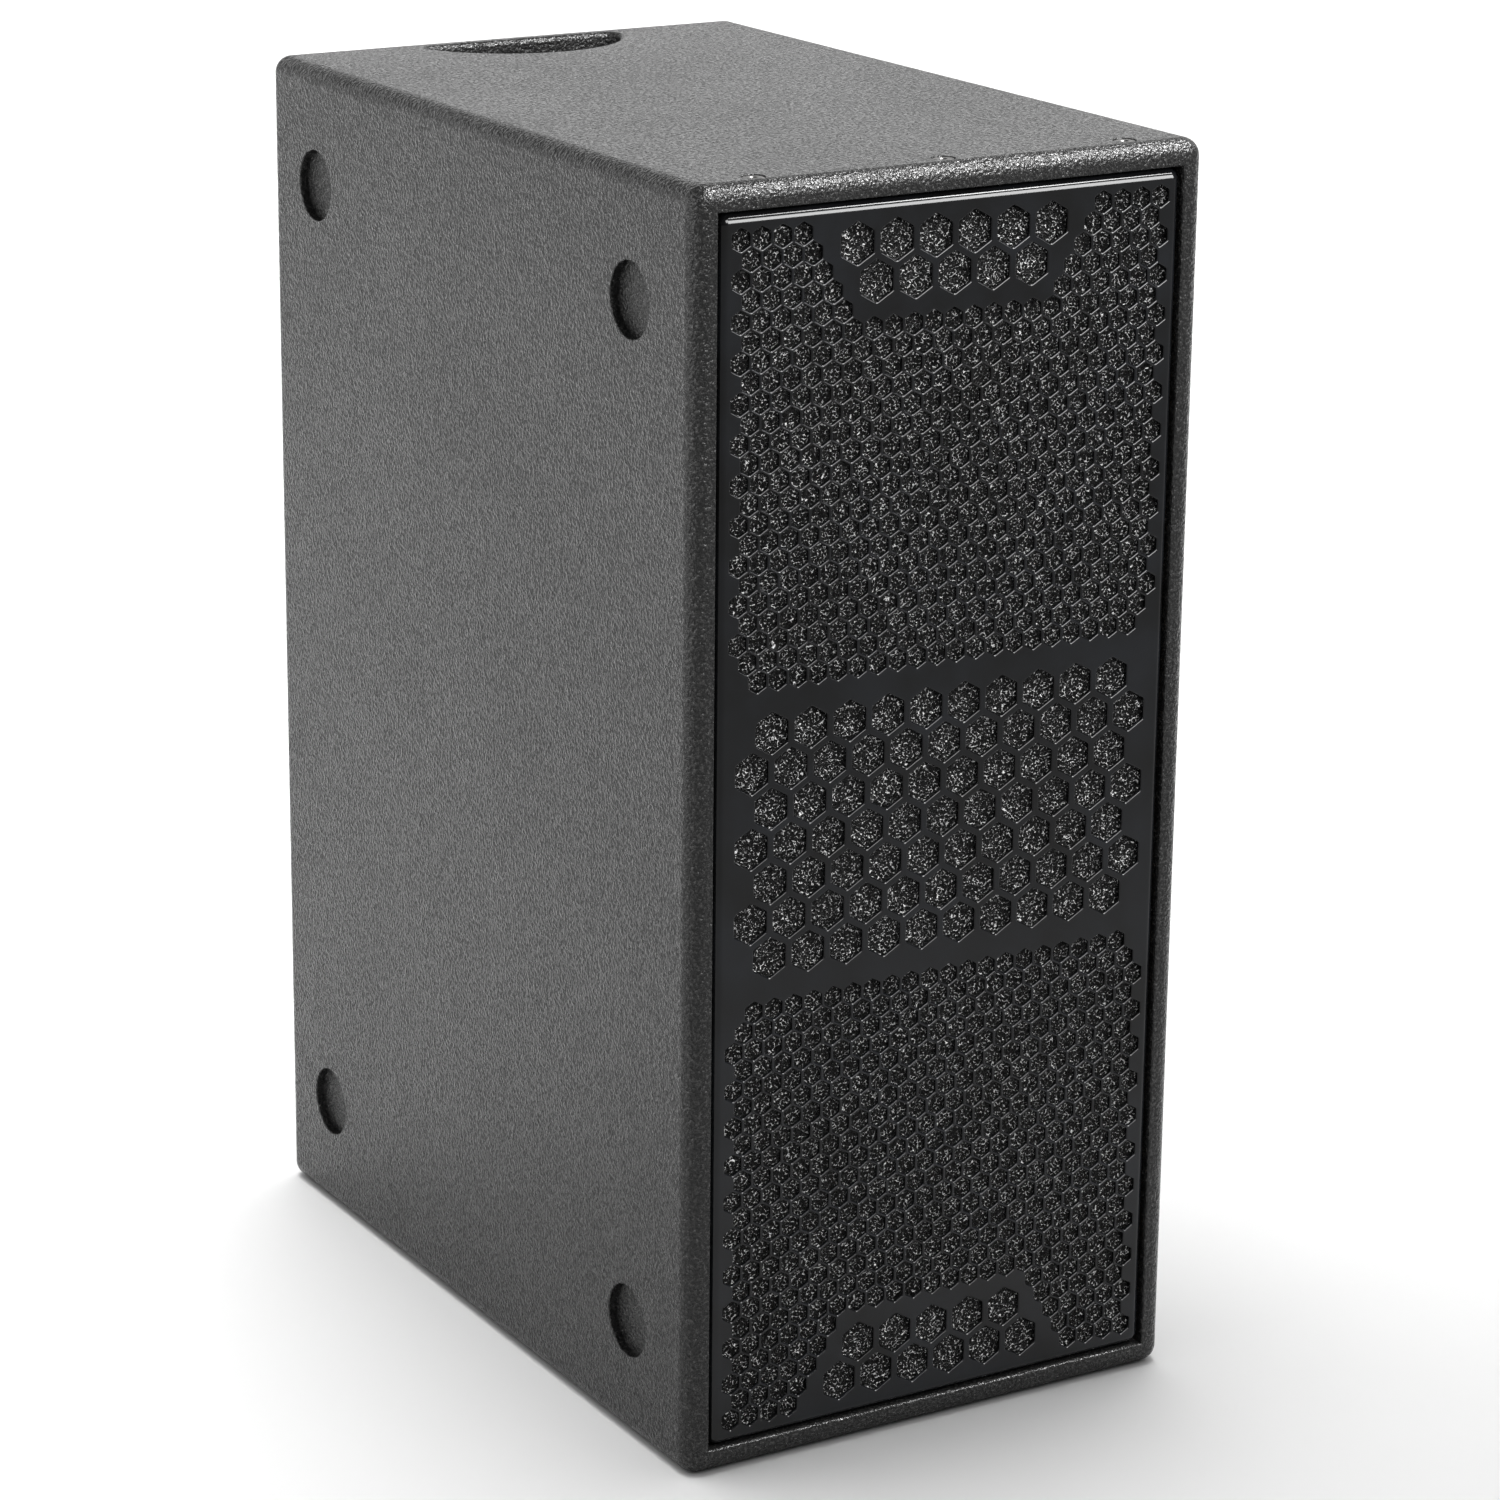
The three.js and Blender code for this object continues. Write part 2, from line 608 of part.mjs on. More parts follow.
/** A paper cone, slightly curved, open at its neck. */
function cone() {
  return thinSheet(sampled((share) => [
    between(CONE_NECK_RADIUS, CONE_RIM_RADIUS, share),
    between(CONE_NECK_DEPTH, CONE_RIM_DEPTH, share) - CONE_BOW * Math.sin(Math.PI * share),
  ]), CONE_THICKNESS);
}

/** A shallow dome over the neck of the cone. */
function dustCap() {
  const sphere = (CAP_RADIUS ** 2 + CAP_HEIGHT ** 2) / (2 * CAP_HEIGHT);
  const face = sampled((share) => [
    CAP_RADIUS * share,
    CAP_CREST + sphere - Math.sqrt(sphere ** 2 - (CAP_RADIUS * share) ** 2),
  ]);
  return thinSheet(face, CAP_THICKNESS, false);
}

/** A corrugated cloth ring, cupped so that its inner edge stands forward of its seat. */
function spider() {
  const face = sampled((share, step) => {
    const onEdge = share === 0 || share === 1;
    const ridge = onEdge ? 0 : SPIDER_RIDGE * (step % 2 ? 1 : -1);
    return [
      between(SPIDER_INNER_RADIUS, SPIDER_OUTER_RADIUS, share),
      between(SPIDER_INNER_DEPTH, SPIDER_OUTER_DEPTH, share) + ridge,
    ];
  });
  face.push([SPIDER_SEAT_RADIUS, SPIDER_OUTER_DEPTH]);
  return thinSheet(face, SPIDER_THICKNESS);
}

/** One driver with its bolts; towardsMiddle is the Z direction of its terminal. */
function driver(place, z, towardsMiddle) {
  const group = new THREE.Group();
  group.position.set(0, BAFFLE_FRONT, z);
  const pieces = [
    ["basket", basket(towardsMiddle), CAST_FRAME],
    ["surround", surround(), RUBBER],
    ["cone", cone(), PAPER],
    ["dust_cap", dustCap(), PAPER],
    ["voice_coil", turned(VOICE_COIL_OUTLINE), COPPER],
    ["spider", spider(), CLOTH],
    ["top_plate", turned(TOP_PLATE_OUTLINE), ZINC],
    ["magnet", turned(MAGNET_OUTLINE), FERRITE],
    ["back_plate", turned(BACK_PLATE_OUTLINE), ZINC],
  ];
  for (const [name, geometry, finish] of pieces) group.add(part(`${name}_${place}`, geometry, finish));
  boltPlaces().forEach(([x, up], index) => {
    const shape = capScrew(
      BOLT_RADIUS, BOLT_GRIP + FLANGE_THICKNESS, BOLT_HEAD_RADIUS, BOLT_HEAD_HEIGHT, BOLT_KEY_RADIUS);
    const bolt = part(`driver_bolt_${place}_${index + 1}`, aimed(shape, [0, -1, 0]), DARK_SCREW);
    bolt.position.set(x, BOLT_GRIP, up);
    group.add(bolt);
  });
  return group;
}

// ---------- rear input plate, sockets and leads ----------

/** The [x, z] places of the plate's four screws. */
function plateScrewPlaces() {
  const places = [];
  for (const x of [-PLATE_SCREW_X, PLATE_SCREW_X]) {
    for (const z of [-PLATE_SCREW_Z, PLATE_SCREW_Z]) places.push([x, PLATE_HEIGHT_ABOVE_FLOOR + z]);
  }
  return places;
}

function inputPlate() {
  const low = BACK - REBATE_DEPTH;
  const z = PLATE_HEIGHT_ABOVE_FLOOR;
  const blank = solid(block(
    [-PLATE_HALF_WIDTH, low, z - PLATE_HALF_HEIGHT],
    [PLATE_HALF_WIDTH, low + PLATE_THICKNESS, z + PLATE_HALF_HEIGHT],
  ));
  const sockets = [-SOCKET_OFFSET, SOCKET_OFFSET].map((x) =>
    rod(SOCKET_BARREL_RADIUS + CLEARANCE, WALL, [x, low - PAST, z], [0, 1, 0], MEDIUM_FACETS));
  const screws = plateScrewPlaces().map(([x, height]) =>
    rod(PLATE_SCREW_RADIUS + CLEARANCE, WALL, [x, low - PAST, height], [0, 1, 0]));
  return surface(cut(blank, [...sockets, ...screws]));
}

/** A round locking speaker socket along +Y, its flange's back at 0, with a key post in its mouth. */
function inputSocket() {
  const face = SOCKET_FLANGE_THICKNESS;
  const floor = face - SOCKET_MOUTH_DEPTH;
  const end = face - SOCKET_LENGTH;
  return turned([
    [0, end],
    [SOCKET_BARREL_RADIUS, end],
    [SOCKET_BARREL_RADIUS, 0],
    [SOCKET_FLANGE_RADIUS, 0],
    [SOCKET_FLANGE_RADIUS, face],
    [SOCKET_MOUTH_RADIUS, face],
    [SOCKET_MOUTH_RADIUS, floor],
    [SOCKET_KEY_POST_RADIUS, floor],
    [SOCKET_KEY_POST_RADIUS, floor + SOCKET_KEY_POST_HEIGHT],
    [0, floor + SOCKET_KEY_POST_HEIGHT],
  ], MEDIUM_FACETS, false);
}

/** A round lead through a list of points, with flat ends. */
function lead(points) {
  const section = new THREE.Shape();
  section.absarc(0, 0, LEAD_RADIUS, 0, 2 * Math.PI, false);
  const path = new THREE.CatmullRomCurve3(points.map((point) => new THREE.Vector3(...point)));
  const steps = Math.round(path.getLength() / LEAD_STEP);
  const options = { steps, curveSegments: LEAD_FACETS, extrudePath: path, bevelEnabled: false };
  return new THREE.ExtrudeGeometry(section, options);
}

// The leads leave the sockets' backs and reach the drivers' terminals, at the upper driver past
// the open end of the duct.
const SOCKET_FACE = BACK - REBATE_DEPTH + PLATE_THICKNESS + SOCKET_FLANGE_THICKNESS;
const LEAD_START = SOCKET_FACE - SOCKET_LENGTH - LEAD_GAP;
const LEAD_END = BAFFLE_FRONT + TERMINAL_END + LEAD_GAP;
const UPPER_TERMINAL = MIDDLE + DRIVER_OFFSET - TERMINAL_RADIUS;
const LOWER_TERMINAL = MIDDLE - DRIVER_OFFSET + TERMINAL_RADIUS;
const UPPER_ROUTE = [
  [-24, LEAD_START, 200],
  [-24, 181, 200],
  [-25, 173, 222],
  [-27, 176, 262],
  [-28, 180, 315],
  [-27, 176, 372],
  [-22, 160, 412],
  [-14, 120, 428],
  [-8, 40, 431],
  [-3, -60, 427],
  [0, -120, UPPER_TERMINAL],
  [0, LEAD_END, UPPER_TERMINAL],
];
const LOWER_ROUTE = [
  [24, LEAD_START, 200],
  [24, 175, 200],
  [21, 120, 192],
  [13, 40, 188],
  [6, -50, 197],
  [0, -120, LOWER_TERMINAL],
  [0, LEAD_END, LOWER_TERMINAL],
];

function rearParts() {
  const group = new THREE.Group();
  group.add(part("input_plate", inputPlate(), BLACK_STEEL));
  const plateBack = BACK - REBATE_DEPTH;
  const plateFace = plateBack + PLATE_THICKNESS;
  [-SOCKET_OFFSET, SOCKET_OFFSET].forEach((x, index) => {
    const socket = part(`input_socket_${index + 1}`, inputSocket(), BLACK_PLASTIC);
    socket.position.set(x, plateFace, PLATE_HEIGHT_ABOVE_FLOOR);
    group.add(socket);
  });
  plateScrewPlaces().forEach(([x, z], index) => {
    const shape = capScrew(
      PLATE_SCREW_RADIUS,
      PLATE_SCREW_GRIP + PLATE_THICKNESS,
      PLATE_SCREW_HEAD_RADIUS,
      PLATE_SCREW_HEAD_HEIGHT,
      PLATE_SCREW_KEY_RADIUS,
    );
    const screw = part(`plate_screw_${index + 1}`, shape, DARK_SCREW);
    screw.position.set(x, plateBack - PLATE_SCREW_GRIP, z);
    group.add(screw);
  });
  group.add(part("lead_upper", lead(UPPER_ROUTE), RUBBER));
  group.add(part("lead_lower", lead(LOWER_ROUTE), RUBBER));
  return group;
}

// ---------- assembly ----------

function cabinet() {
  const group = new THREE.Group();
  group.add(
    part("side_panel_left", leftPanel(), PAINT),
    part("side_panel_right", rightPanel(), PAINT),
    part("top_panel", topPanel(), PAINT),
    part("bottom_panel", bottomPanel(), PAINT),
    part("rear_panel", rearPanel(), PAINT),
    part("baffle", baffle(), BARE_PLY),
    part("port_shelf_upper", portShelf(1), BARE_PLY),
    part("port_shelf_lower", portShelf(-1), BARE_PLY),
    part("handle_pocket", handlePocket(), BLACK_PLASTIC),
  );
  return group;
}

function frontCover() {
  const group = new THREE.Group();
  group.add(part("grille", grille(), BLACK_STEEL), part("grille_foam", grilleFoam(), FOAM));
  group.add(grilleScrews("top", 1), grilleScrews("bottom", -1));
  return group;
}

const speaker = new THREE.Group();
speaker.add(
  cabinet(),
  frontCover(),
  driver("upper", MIDDLE + DRIVER_OFFSET, -1),
  driver("lower", MIDDLE - DRIVER_OFFSET, 1),
  feet(),
  rearParts(),
);

export default speaker;
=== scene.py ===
"""A PA speaker cabinet: a smooth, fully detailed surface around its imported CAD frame.

Metres throughout, +Z up, the front towards -Y. Lengths written as 3 * MM are millimetres.
"""

import math
from functools import partial

import bpy
import numpy as np
from mathutils import Matrix, Vector, noise
from mathutils.geometry import delaunay_2d_cdt
from mathutils.kdtree import KDTree


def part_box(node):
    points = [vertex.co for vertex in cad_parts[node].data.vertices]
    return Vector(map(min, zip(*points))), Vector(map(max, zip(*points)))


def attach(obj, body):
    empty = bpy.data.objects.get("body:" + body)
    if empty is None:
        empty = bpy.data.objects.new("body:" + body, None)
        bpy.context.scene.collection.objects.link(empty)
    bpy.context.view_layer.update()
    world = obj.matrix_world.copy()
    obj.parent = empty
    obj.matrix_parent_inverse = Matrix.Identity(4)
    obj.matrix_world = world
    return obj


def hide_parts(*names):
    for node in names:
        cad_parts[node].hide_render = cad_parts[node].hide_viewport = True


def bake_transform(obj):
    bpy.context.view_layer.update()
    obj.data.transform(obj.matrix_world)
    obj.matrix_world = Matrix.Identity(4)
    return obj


MM = 0.001

# Cabinet
EDGE_RADIUS = 9 * MM
EDGE_STEPS = 6
RIM_ROUND = 1.0 * MM
SLOT_ROUND = 3 * MM
RECESS_ROUND = 0.7 * MM
COUNTERBORE_ROUND = 0.5 * MM

# How near counts as on the rounded shell, a hair's breadth, and how far a trimmed box reaches past a side
SHELL_TOLERANCE = 8e-6
HAIR = 0.01 * MM
OVERCUT = 5 * MM

# Edges steeper than this many degrees stay crisp
SHARP = 32

# The range that most of a noise's values fall in
NOISE_SPAN = (0.3, 0.7)

# Stacking recesses and feet: distances from the front, the back and each end
FOOT_FROM_FRONT = 59 * MM
FOOT_FROM_BACK = 53 * MM
FOOT_FROM_END = 61 * MM
RECESS_RADIUS = 18.25 * MM
RECESS_DEPTH = 4.5 * MM

# Hand slot: a D with its flat side towards the back
SLOT_HALF_LENGTH = 59 * MM
SLOT_DEPTH = 46.5 * MM
SLOT_FROM_BACK = 15.5 * MM
SLOT_CORNER = 6 * MM
POCKET_UNDERCUT = 6 * MM
POCKET_WALL = 2.7 * MM
POCKET_ROUND = 5 * MM

# Grille
SHEET = 1.5 * MM
BEND_RADIUS = 4.5 * MM
GRILLE_CORNER = 5 * MM
LIP = 0.7 * MM
INNER_FOLD = 0.7 * MM
HOLE_ARC = 2
SMALL_PITCH = 10.95 * MM
SMALL_APOTHEM = 4.72 * MM
SMALL_CORNER = 0.8 * MM
SMALL_OUTER_ROW = 289.2 * MM
SMALL_INNER_ROW = 81.3 * MM
SMALL_ROWS = 23
BIG_PITCH = 21.3 * MM
BIG_APOTHEM = 8.85 * MM
BIG_CORNER = 1.1 * MM
BIG_PATCH_ROW = 282.2 * MM
ROW_STEP = math.sqrt(3) / 2

# Foam: the grid of its front, and the size and depth of what breaks that front up
FOAM_STEP = 1.7 * MM
FOAM_MARGIN = 0.2 * MM
FOAM_PORE = 2.3 * MM
FOAM_WAVE = 3.1 * MM
FOAM_RELIEF = 0.8 * MM

# Screws: shank radius, shank length, head radius, head height, key hole's radius
GRILLE_SCREW = (2.5 * MM, 18 * MM, 5.35 * MM, 3 * MM, 1.85 * MM)
PLATE_SCREW = (1.7 * MM, 7 * MM, 3.6 * MM, 2 * MM, 1.25 * MM)
FOOT_SCREW = (2.1 * MM, 14 * MM, 4.5 * MM, 2.8 * MM, 1.6 * MM)
DRIVER_BOLT = (2.5 * MM, 18 * MM, 4.3 * MM, 3 * MM, 1.75 * MM)
SCREW_SPACING = 101.7 * MM
SCREW_FROM_FRONT = 13.4 * MM
SCREW_BORE = 2.8 * MM
COUNTERBORE_RADIUS = 5.7 * MM
COUNTERBORE_DEPTH = 3.6 * MM

# Inside and rear: radii, half a width, and in mm the terminals' distance from a driver's axis
SOCKET_BORE = 14.3 * MM
PLATE_SCREW_BORE = 2 * MM
DRIVER_HOLE = 93 * MM
PORT_HALF_WIDTH = 115 * MM
LEAD_RADIUS = 2.5 * MM
TERMINAL_OFFSET = 78

# How far the sockets' key ways are turned from upright, in radians
KEY_WAY_TURN = 0.35

# Drivers in mm: radii, and depths behind the baffle's front
NECK = 19.4
CONE_REACH, CONE_BACK, CONE_DEPTH, CONE_BULGE = 53.8, 37, 32, 4
CAP_RADIUS, CAP_RISE, CAP_FRONT = 27, 9, 14
ROLL_RADIUS, ROLL_DEPTH, ROLL_OUTER, ROLL_INNER = 81, -4.8, 7.8, 7
SPIDER_REACH, SPIDER_FRONT, SPIDER_DEPTH = 30.1, 41, 7.5

# Camera: its three angles in degrees, its place from the object's middle, and its lens
CAMERA_ANGLES = (29.74, 16.53, 0.246)
CAMERA_PLACE = Vector((-1.1590, -1.9750, 0.6835))
OBJECT_MIDDLE = Vector((0, 0, 0.315))
LENS, SENSOR = 110.86, 36
SHIFT_X, SHIFT_Y = 0.0611, -0.0384

# Studio: radiances, how far most softboxes stand from the object, and half the floor's width, in metres
DIM_STUDIO, BRIGHT_WALL, FLOOR_WASH, FLOOR_POOL = 0.1, 1.1, 0.55, 1.3
BOX_DISTANCE = 2.2
FLOOR_HALF = 7.0

# Where a round cutter's corners could meet those of the piece it cuts, it starts this far off the axes
CUT_START = 0.13

X_AXIS, Y_AXIS, Z_AXIS = Vector((1, 0, 0)), Vector((0, 1, 0)), Vector((0, 0, 1))

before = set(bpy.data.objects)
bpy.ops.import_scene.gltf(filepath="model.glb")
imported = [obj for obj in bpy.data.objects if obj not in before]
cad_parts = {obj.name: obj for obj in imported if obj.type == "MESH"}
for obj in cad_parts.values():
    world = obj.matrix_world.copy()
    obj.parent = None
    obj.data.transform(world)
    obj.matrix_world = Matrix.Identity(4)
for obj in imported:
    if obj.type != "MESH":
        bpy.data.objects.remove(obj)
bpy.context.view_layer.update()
scene = bpy.context.scene
pieces, ground, sheet_metal = (bpy.data.collections.new(name) for name in ("pieces", "ground", "sheet_metal"))
for collection in (pieces, ground):
    scene.collection.children.link(collection)


# ---------- finishes ----------


class Nodes:
    """A tree of nodes and short ways to add to it."""

    def __init__(self, tree):
        self.tree = tree

    def node(self, kind, inputs=None, **settings):
        made = self.tree.nodes.new(kind)
        for setting, value in settings.items():
            setattr(made, setting, value)
        for socket, value in (inputs or {}).items():
            self.feed(made.inputs[socket], value)
        return made

    def feed(self, socket, value):
        if isinstance(value, bpy.types.NodeSocket):
            self.tree.links.new(value, socket)
        else:
            socket.default_value = value

    def range(self, value, low, high, to_low=0.0, to_high=1.0, **settings):
        names = ("Value", "From Min", "From Max", "To Min", "To Max")
        inputs = dict(zip(names, (value, low, high, to_low, to_high)))
        return self.node("ShaderNodeMapRange", inputs, **settings).outputs["Result"]

    def math(self, operation, first, second):
        return self.node("ShaderNodeMath", {0: first, 1: second}, operation=operation).outputs[0]


class Finish(Nodes):
    """A node material built round one Principled shader."""

    def __init__(self, name, **sockets):
        self.material = bpy.data.materials.new(name)
        self.material.use_nodes = True
        super().__init__(self.material.node_tree)
        self.shader = self.tree.nodes["Principled BSDF"]
        self.place = self.node("ShaderNodeTexCoord").outputs["Object"]
        for socket, value in sockets.items():
            self.put(socket.replace("_", " "), value)

    def put(self, socket, value):
        self.feed(self.shader.inputs[socket], value)

    def stretched(self, scale):
        """The object's place with each axis scaled, for grain and brushing."""
        return self.node("ShaderNodeMapping", {"Vector": self.place, "Scale": scale}).outputs["Vector"]

    def noise(self, scale, detail=2.0, rough=0.5, place=None):
        inputs = {"Vector": place or self.place, "Scale": scale, "Detail": detail, "Roughness": rough}
        return self.node("ShaderNodeTexNoise", inputs).outputs["Fac"]

    def cells(self, scale, feature="F1"):
        inputs = {"Vector": self.place, "Scale": scale}
        return self.node("ShaderNodeTexVoronoi", inputs, feature=feature).outputs["Distance"]

    def waves(self, scale, direction):
        inputs = {"Vector": self.place, "Scale": scale}
        return self.node("ShaderNodeTexWave", inputs, bands_direction=direction).outputs["Fac"]

    def ramp(self, value, *stops):
        """Colours along a value: each stop is (place, (red, green, blue))."""
        made = self.node("ShaderNodeValToRGB", {"Fac": value})
        elements = made.color_ramp.elements
        while len(elements) < len(stops):
            elements.new(0.5)
        for element, (at, colour) in zip(elements, stops):
            element.position = at
            element.color = (*colour, 1)
        return made.outputs["Color"]

    def blend(self, share, first, second):
        inputs = {"Factor": share, "A": first, "B": second}
        made = self.tree.nodes.new("ShaderNodeMix")
        made.data_type = "RGBA"
        for socket in made.inputs:
            if socket.type == "RGBA" or socket.identifier == "Factor_Float":
                self.feed(socket, inputs[socket.name])
        return next(s for s in made.outputs if s.type == "RGBA")

    def relief(self, height, depth):
        """A bump of that depth in metres."""
        return self.node("ShaderNodeBump", {"Height": height, "Distance": depth}).outputs["Normal"]

    def surface(self, bumps, depth, tones, stops, gloss, rough):
        """Relief of that depth, colours along tones, and roughness between two levels along gloss."""
        self.put("Normal", self.relief(bumps, depth))
        self.put("Base Color", self.ramp(tones, *stops))
        self.put("Roughness", self.range(gloss, *NOISE_SPAN, *rough))
        return self.material


def grey(level, tint=(1, 1, 1)):
    return tuple(level * t for t in tint)


def coating():
    """Sprayed textured paint: glossy rounded droplets whose tops are painted lighter as painted glints, with
    painted shade darkening the hollows between them and black dots of painted shade for pits.
    """
    f = Finish("cabinet_coating", IOR=1.5, Specular_IOR_Level=0.3)
    droplets = f.noise(640, 1.5, 0.5)
    grit = f.noise(1900, 1, 0.5)
    broad = f.noise(9, 3, 0.6)
    height = f.math("ADD", droplets, f.math("MULTIPLY", grit, 0.06))
    f.put("Normal", f.relief(height, 1.0 * MM))
    tone = f.math("ADD", f.math("MULTIPLY", droplets, 0.6), f.math("MULTIPLY", grit, 0.4))
    # Painted light: the droplets' tops are painted lighter as painted glints, and the hollows between them
    # darker as painted shade.
    colour = f.ramp(tone, (0.4, grey(0.004)), (0.52, grey(0.01)), (0.62, grey(0.034, (1, 0.99, 0.97))))
    # Painted shade: small black dots, kept in patches, stand in for shaded pits in the paint.
    pits = f.range(f.cells(90), 0.05, 0.035)
    pit_shade_patches = f.range(f.noise(14, 1), 0.5, 0.56)
    f.put("Base Color", f.blend(f.math("MULTIPLY", pits, pit_shade_patches), colour, (0.002, 0.002, 0.002, 1)))
    matt = f.math("ADD", f.range(tone, 0.42, 0.54, 0.4, 0.08), f.range(broad, *NOISE_SPAN, 0.0, 0.06))
    f.put("Roughness", matt)
    return f.material


def powder_coat():
    """Gloss black paint on the grille's steel."""
    f = Finish("grille_powder_coat", IOR=1.5, Specular_IOR_Level=0.3)
    stops = (0.3, grey(0.0015)), (0.75, grey(0.004, (0.9, 1, 1.2)))
    return f.surface(f.noise(420, 2), 0.012 * MM, f.noise(30, 3, 0.6), stops, f.noise(900, 2), (0.09, 0.15))


def open_foam():
    """Dark open-cell foam: pores painted near-black as painted shade between struts, some of which are
    painted near-white as painted glints.
    """
    f = Finish("open_foam", IOR=1.5, Specular_IOR_Level=0.22)
    pores = f.cells(560, "DISTANCE_TO_EDGE")
    struts = f.range(pores, 0.02, 0.16, 1.0, 0.0)
    turned_up = f.noise(850, 3, 0.65)
    # Painted glints: a patchy share of the struts is picked out to be painted bright.
    painted_strut_glints = f.math("MULTIPLY", struts, f.range(turned_up, 0.49, 0.6))
    f.put("Normal", f.relief(f.math("ADD", struts, turned_up), 0.9 * MM))
    # Painted light: the pores are near-black as painted shade, and the picked struts are near-white as
    # painted glints.
    f.put("Base Color", f.ramp(painted_strut_glints, (0.1, grey(0.0008)), (0.4, grey(0.015)), (0.75, grey(0.75))))
    f.put("Roughness", f.range(turned_up, 0.35, 0.65, 0.45, 0.15))
    return f.material


def oxide_screw():
    """Blackened steel with fine grain and brighter, worn patches."""
    f = Finish("oxide_screw", Metallic=1.0)
    wear = f.noise(700, 3, 0.6)
    stops = (0.35, grey(0.09)), (0.72, grey(0.3, (1, 0.98, 0.95)))
    return f.surface(f.noise(2600, 2), 0.02 * MM, wear, stops, wear, (0.3, 0.5))


def zinc_steel():
    f = Finish("zinc_steel", Metallic=1.0)
    cloudy = f.noise(160, 4, 0.65)
    stops = (0.3, (0.42, 0.42, 0.40)), (0.7, (0.62, 0.63, 0.62))
    return f.surface(f.noise(1400, 2), 0.015 * MM, cloudy, stops, cloudy, (0.24, 0.42))


def rubber(name="foot_rubber", level=0.016):
    f = Finish(name, IOR=1.5)
    grain = f.noise(1500, 3, 0.6)
    stops = (0.3, grey(level * 0.8)), (0.7, grey(level * 1.5))
    return f.surface(grain, 0.06 * MM, f.noise(60, 3), stops, grain, (0.62, 0.82))


def moulded_plastic():
    """Black moulded plastic with a spark-eroded grain."""
    f = Finish("moulded_plastic", IOR=1.48)
    grain = f.cells(1300, "SMOOTH_F1")
    stops = (0.3, grey(0.0112)), (0.7, grey(0.0196))
    return f.surface(grain, 0.07 * MM, f.noise(45, 3), stops, f.noise(500, 2), (0.38, 0.56))


def birch_plywood():
    """Bare birch ply: fine grain over a broader figure, both long in X."""
    f = Finish("birch_plywood", IOR=1.45)
    grain = f.noise(60, 5, 0.65, f.stretched((0.25, 1, 6)))
    figure = f.noise(9, 3, 0.6, f.stretched((0.5, 1, 3)))
    tone = f.math("ADD", f.math("MULTIPLY", grain, 0.6), f.math("MULTIPLY", figure, 0.4))
    stops = (0.3, (0.30, 0.19, 0.09)), (0.55, (0.46, 0.31, 0.16)), (0.75, (0.55, 0.40, 0.23))
    return f.surface(grain, 0.08 * MM, tone, stops, grain, (0.55, 0.75))


def cast_frame():
    f = Finish("basket_paint", IOR=1.5)
    texture = f.noise(900, 3, 0.6)
    stops = (0.3, grey(0.011)), (0.7, grey(0.02))
    return f.surface(texture, 0.12 * MM, f.noise(40, 3), stops, texture, (0.4, 0.62))


def cone_paper():
    """Pressed black paper pulp with loose fibres."""
    f = Finish("cone_paper", IOR=1.4)
    fibres = f.noise(420, 6, 0.72)
    stops = (0.3, grey(0.018)), (0.7, grey(0.032, (1, 0.98, 0.95)))
    return f.surface(fibres, 0.22 * MM, f.noise(55, 3, 0.6), stops, fibres, (0.72, 0.92))


def spider_cloth():
    """Woven resin-treated cloth."""
    f = Finish("spider_cloth", IOR=1.45, Sheen_Weight=0.25)
    weave = f.math("MULTIPLY", f.waves(260, "X"), f.waves(260, "Z"))
    stops = (0.0, (0.22, 0.13, 0.04)), (0.8, (0.46, 0.31, 0.12))
    return f.surface(weave, 0.2 * MM, weave, stops, f.noise(90, 2), (0.7, 0.9))


def ferrite():
    f = Finish("ferrite", IOR=1.7)
    pits = f.noise(800, 4, 0.7)
    stops = (0.3, grey(0.018)), (0.7, grey(0.034, (1, 1, 1.05)))
    return f.surface(pits, 0.05 * MM, pits, stops, pits, (0.4, 0.65))


def coil_winding():
    """Round copper wire laid in close turns on an aluminium former."""
    f = Finish("coil_winding", Metallic=0.9)
    turns = f.waves(900, "Y")
    stops = (0.1, (0.20, 0.08, 0.03)), (0.8, (0.66, 0.33, 0.18))
    return f.surface(turns, 0.12 * MM, turns, stops, f.noise(300, 2), (0.25, 0.42))


def studio_floor():
    f = Finish("studio_floor", IOR=1.4)
    mottle = f.noise(3, 3, 0.5)
    f.put("Base Color", f.ramp(mottle, (0.2, grey(0.80)), (0.8, grey(0.83))))
    f.put("Roughness", f.range(f.noise(150, 3), *NOISE_SPAN, 0.75, 0.9))
    return f.material


COATING = coating()
POWDER_COAT = powder_coat()
FOAM = open_foam()
SCREW = oxide_screw()
ZINC = zinc_steel()
RUBBER = rubber()
SURROUND_RUBBER = rubber("surround_rubber", 0.012)
JACKET = rubber("lead_jacket", 0.012)
PLASTIC = moulded_plastic()
PLYWOOD = birch_plywood()
CAST = cast_frame()
PAPER = cone_paper()
CLOTH = spider_cloth()
FERRITE = ferrite()
COIL = coil_winding()


# ---------- meshes ----------


def add_object(name, mesh, material, home=pieces):
    made = bpy.data.objects.new(name, mesh)
    mesh.materials.clear()
    mesh.materials.append(material)
    home.objects.link(made)
    return made


def mesh_of(name, points, faces, sharp=SHARP):
    """A closed smooth mesh whose edges steeper than sharp degrees stay crisp."""
    mesh = bpy.data.meshes.new(name)
    mesh.from_pydata([tuple(p) for p in points], [], [tuple(f) for f in faces])
    mesh.update()
    mesh.shade_smooth()
    mesh.set_sharp_from_angle(angle=math.radians(sharp))
    return mesh


def stand_in(made, node, body="cabinet"):
    """made shows instead of a CAD node and rides on a body."""
    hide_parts(node)
    if body:
        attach(made, body)
    return made


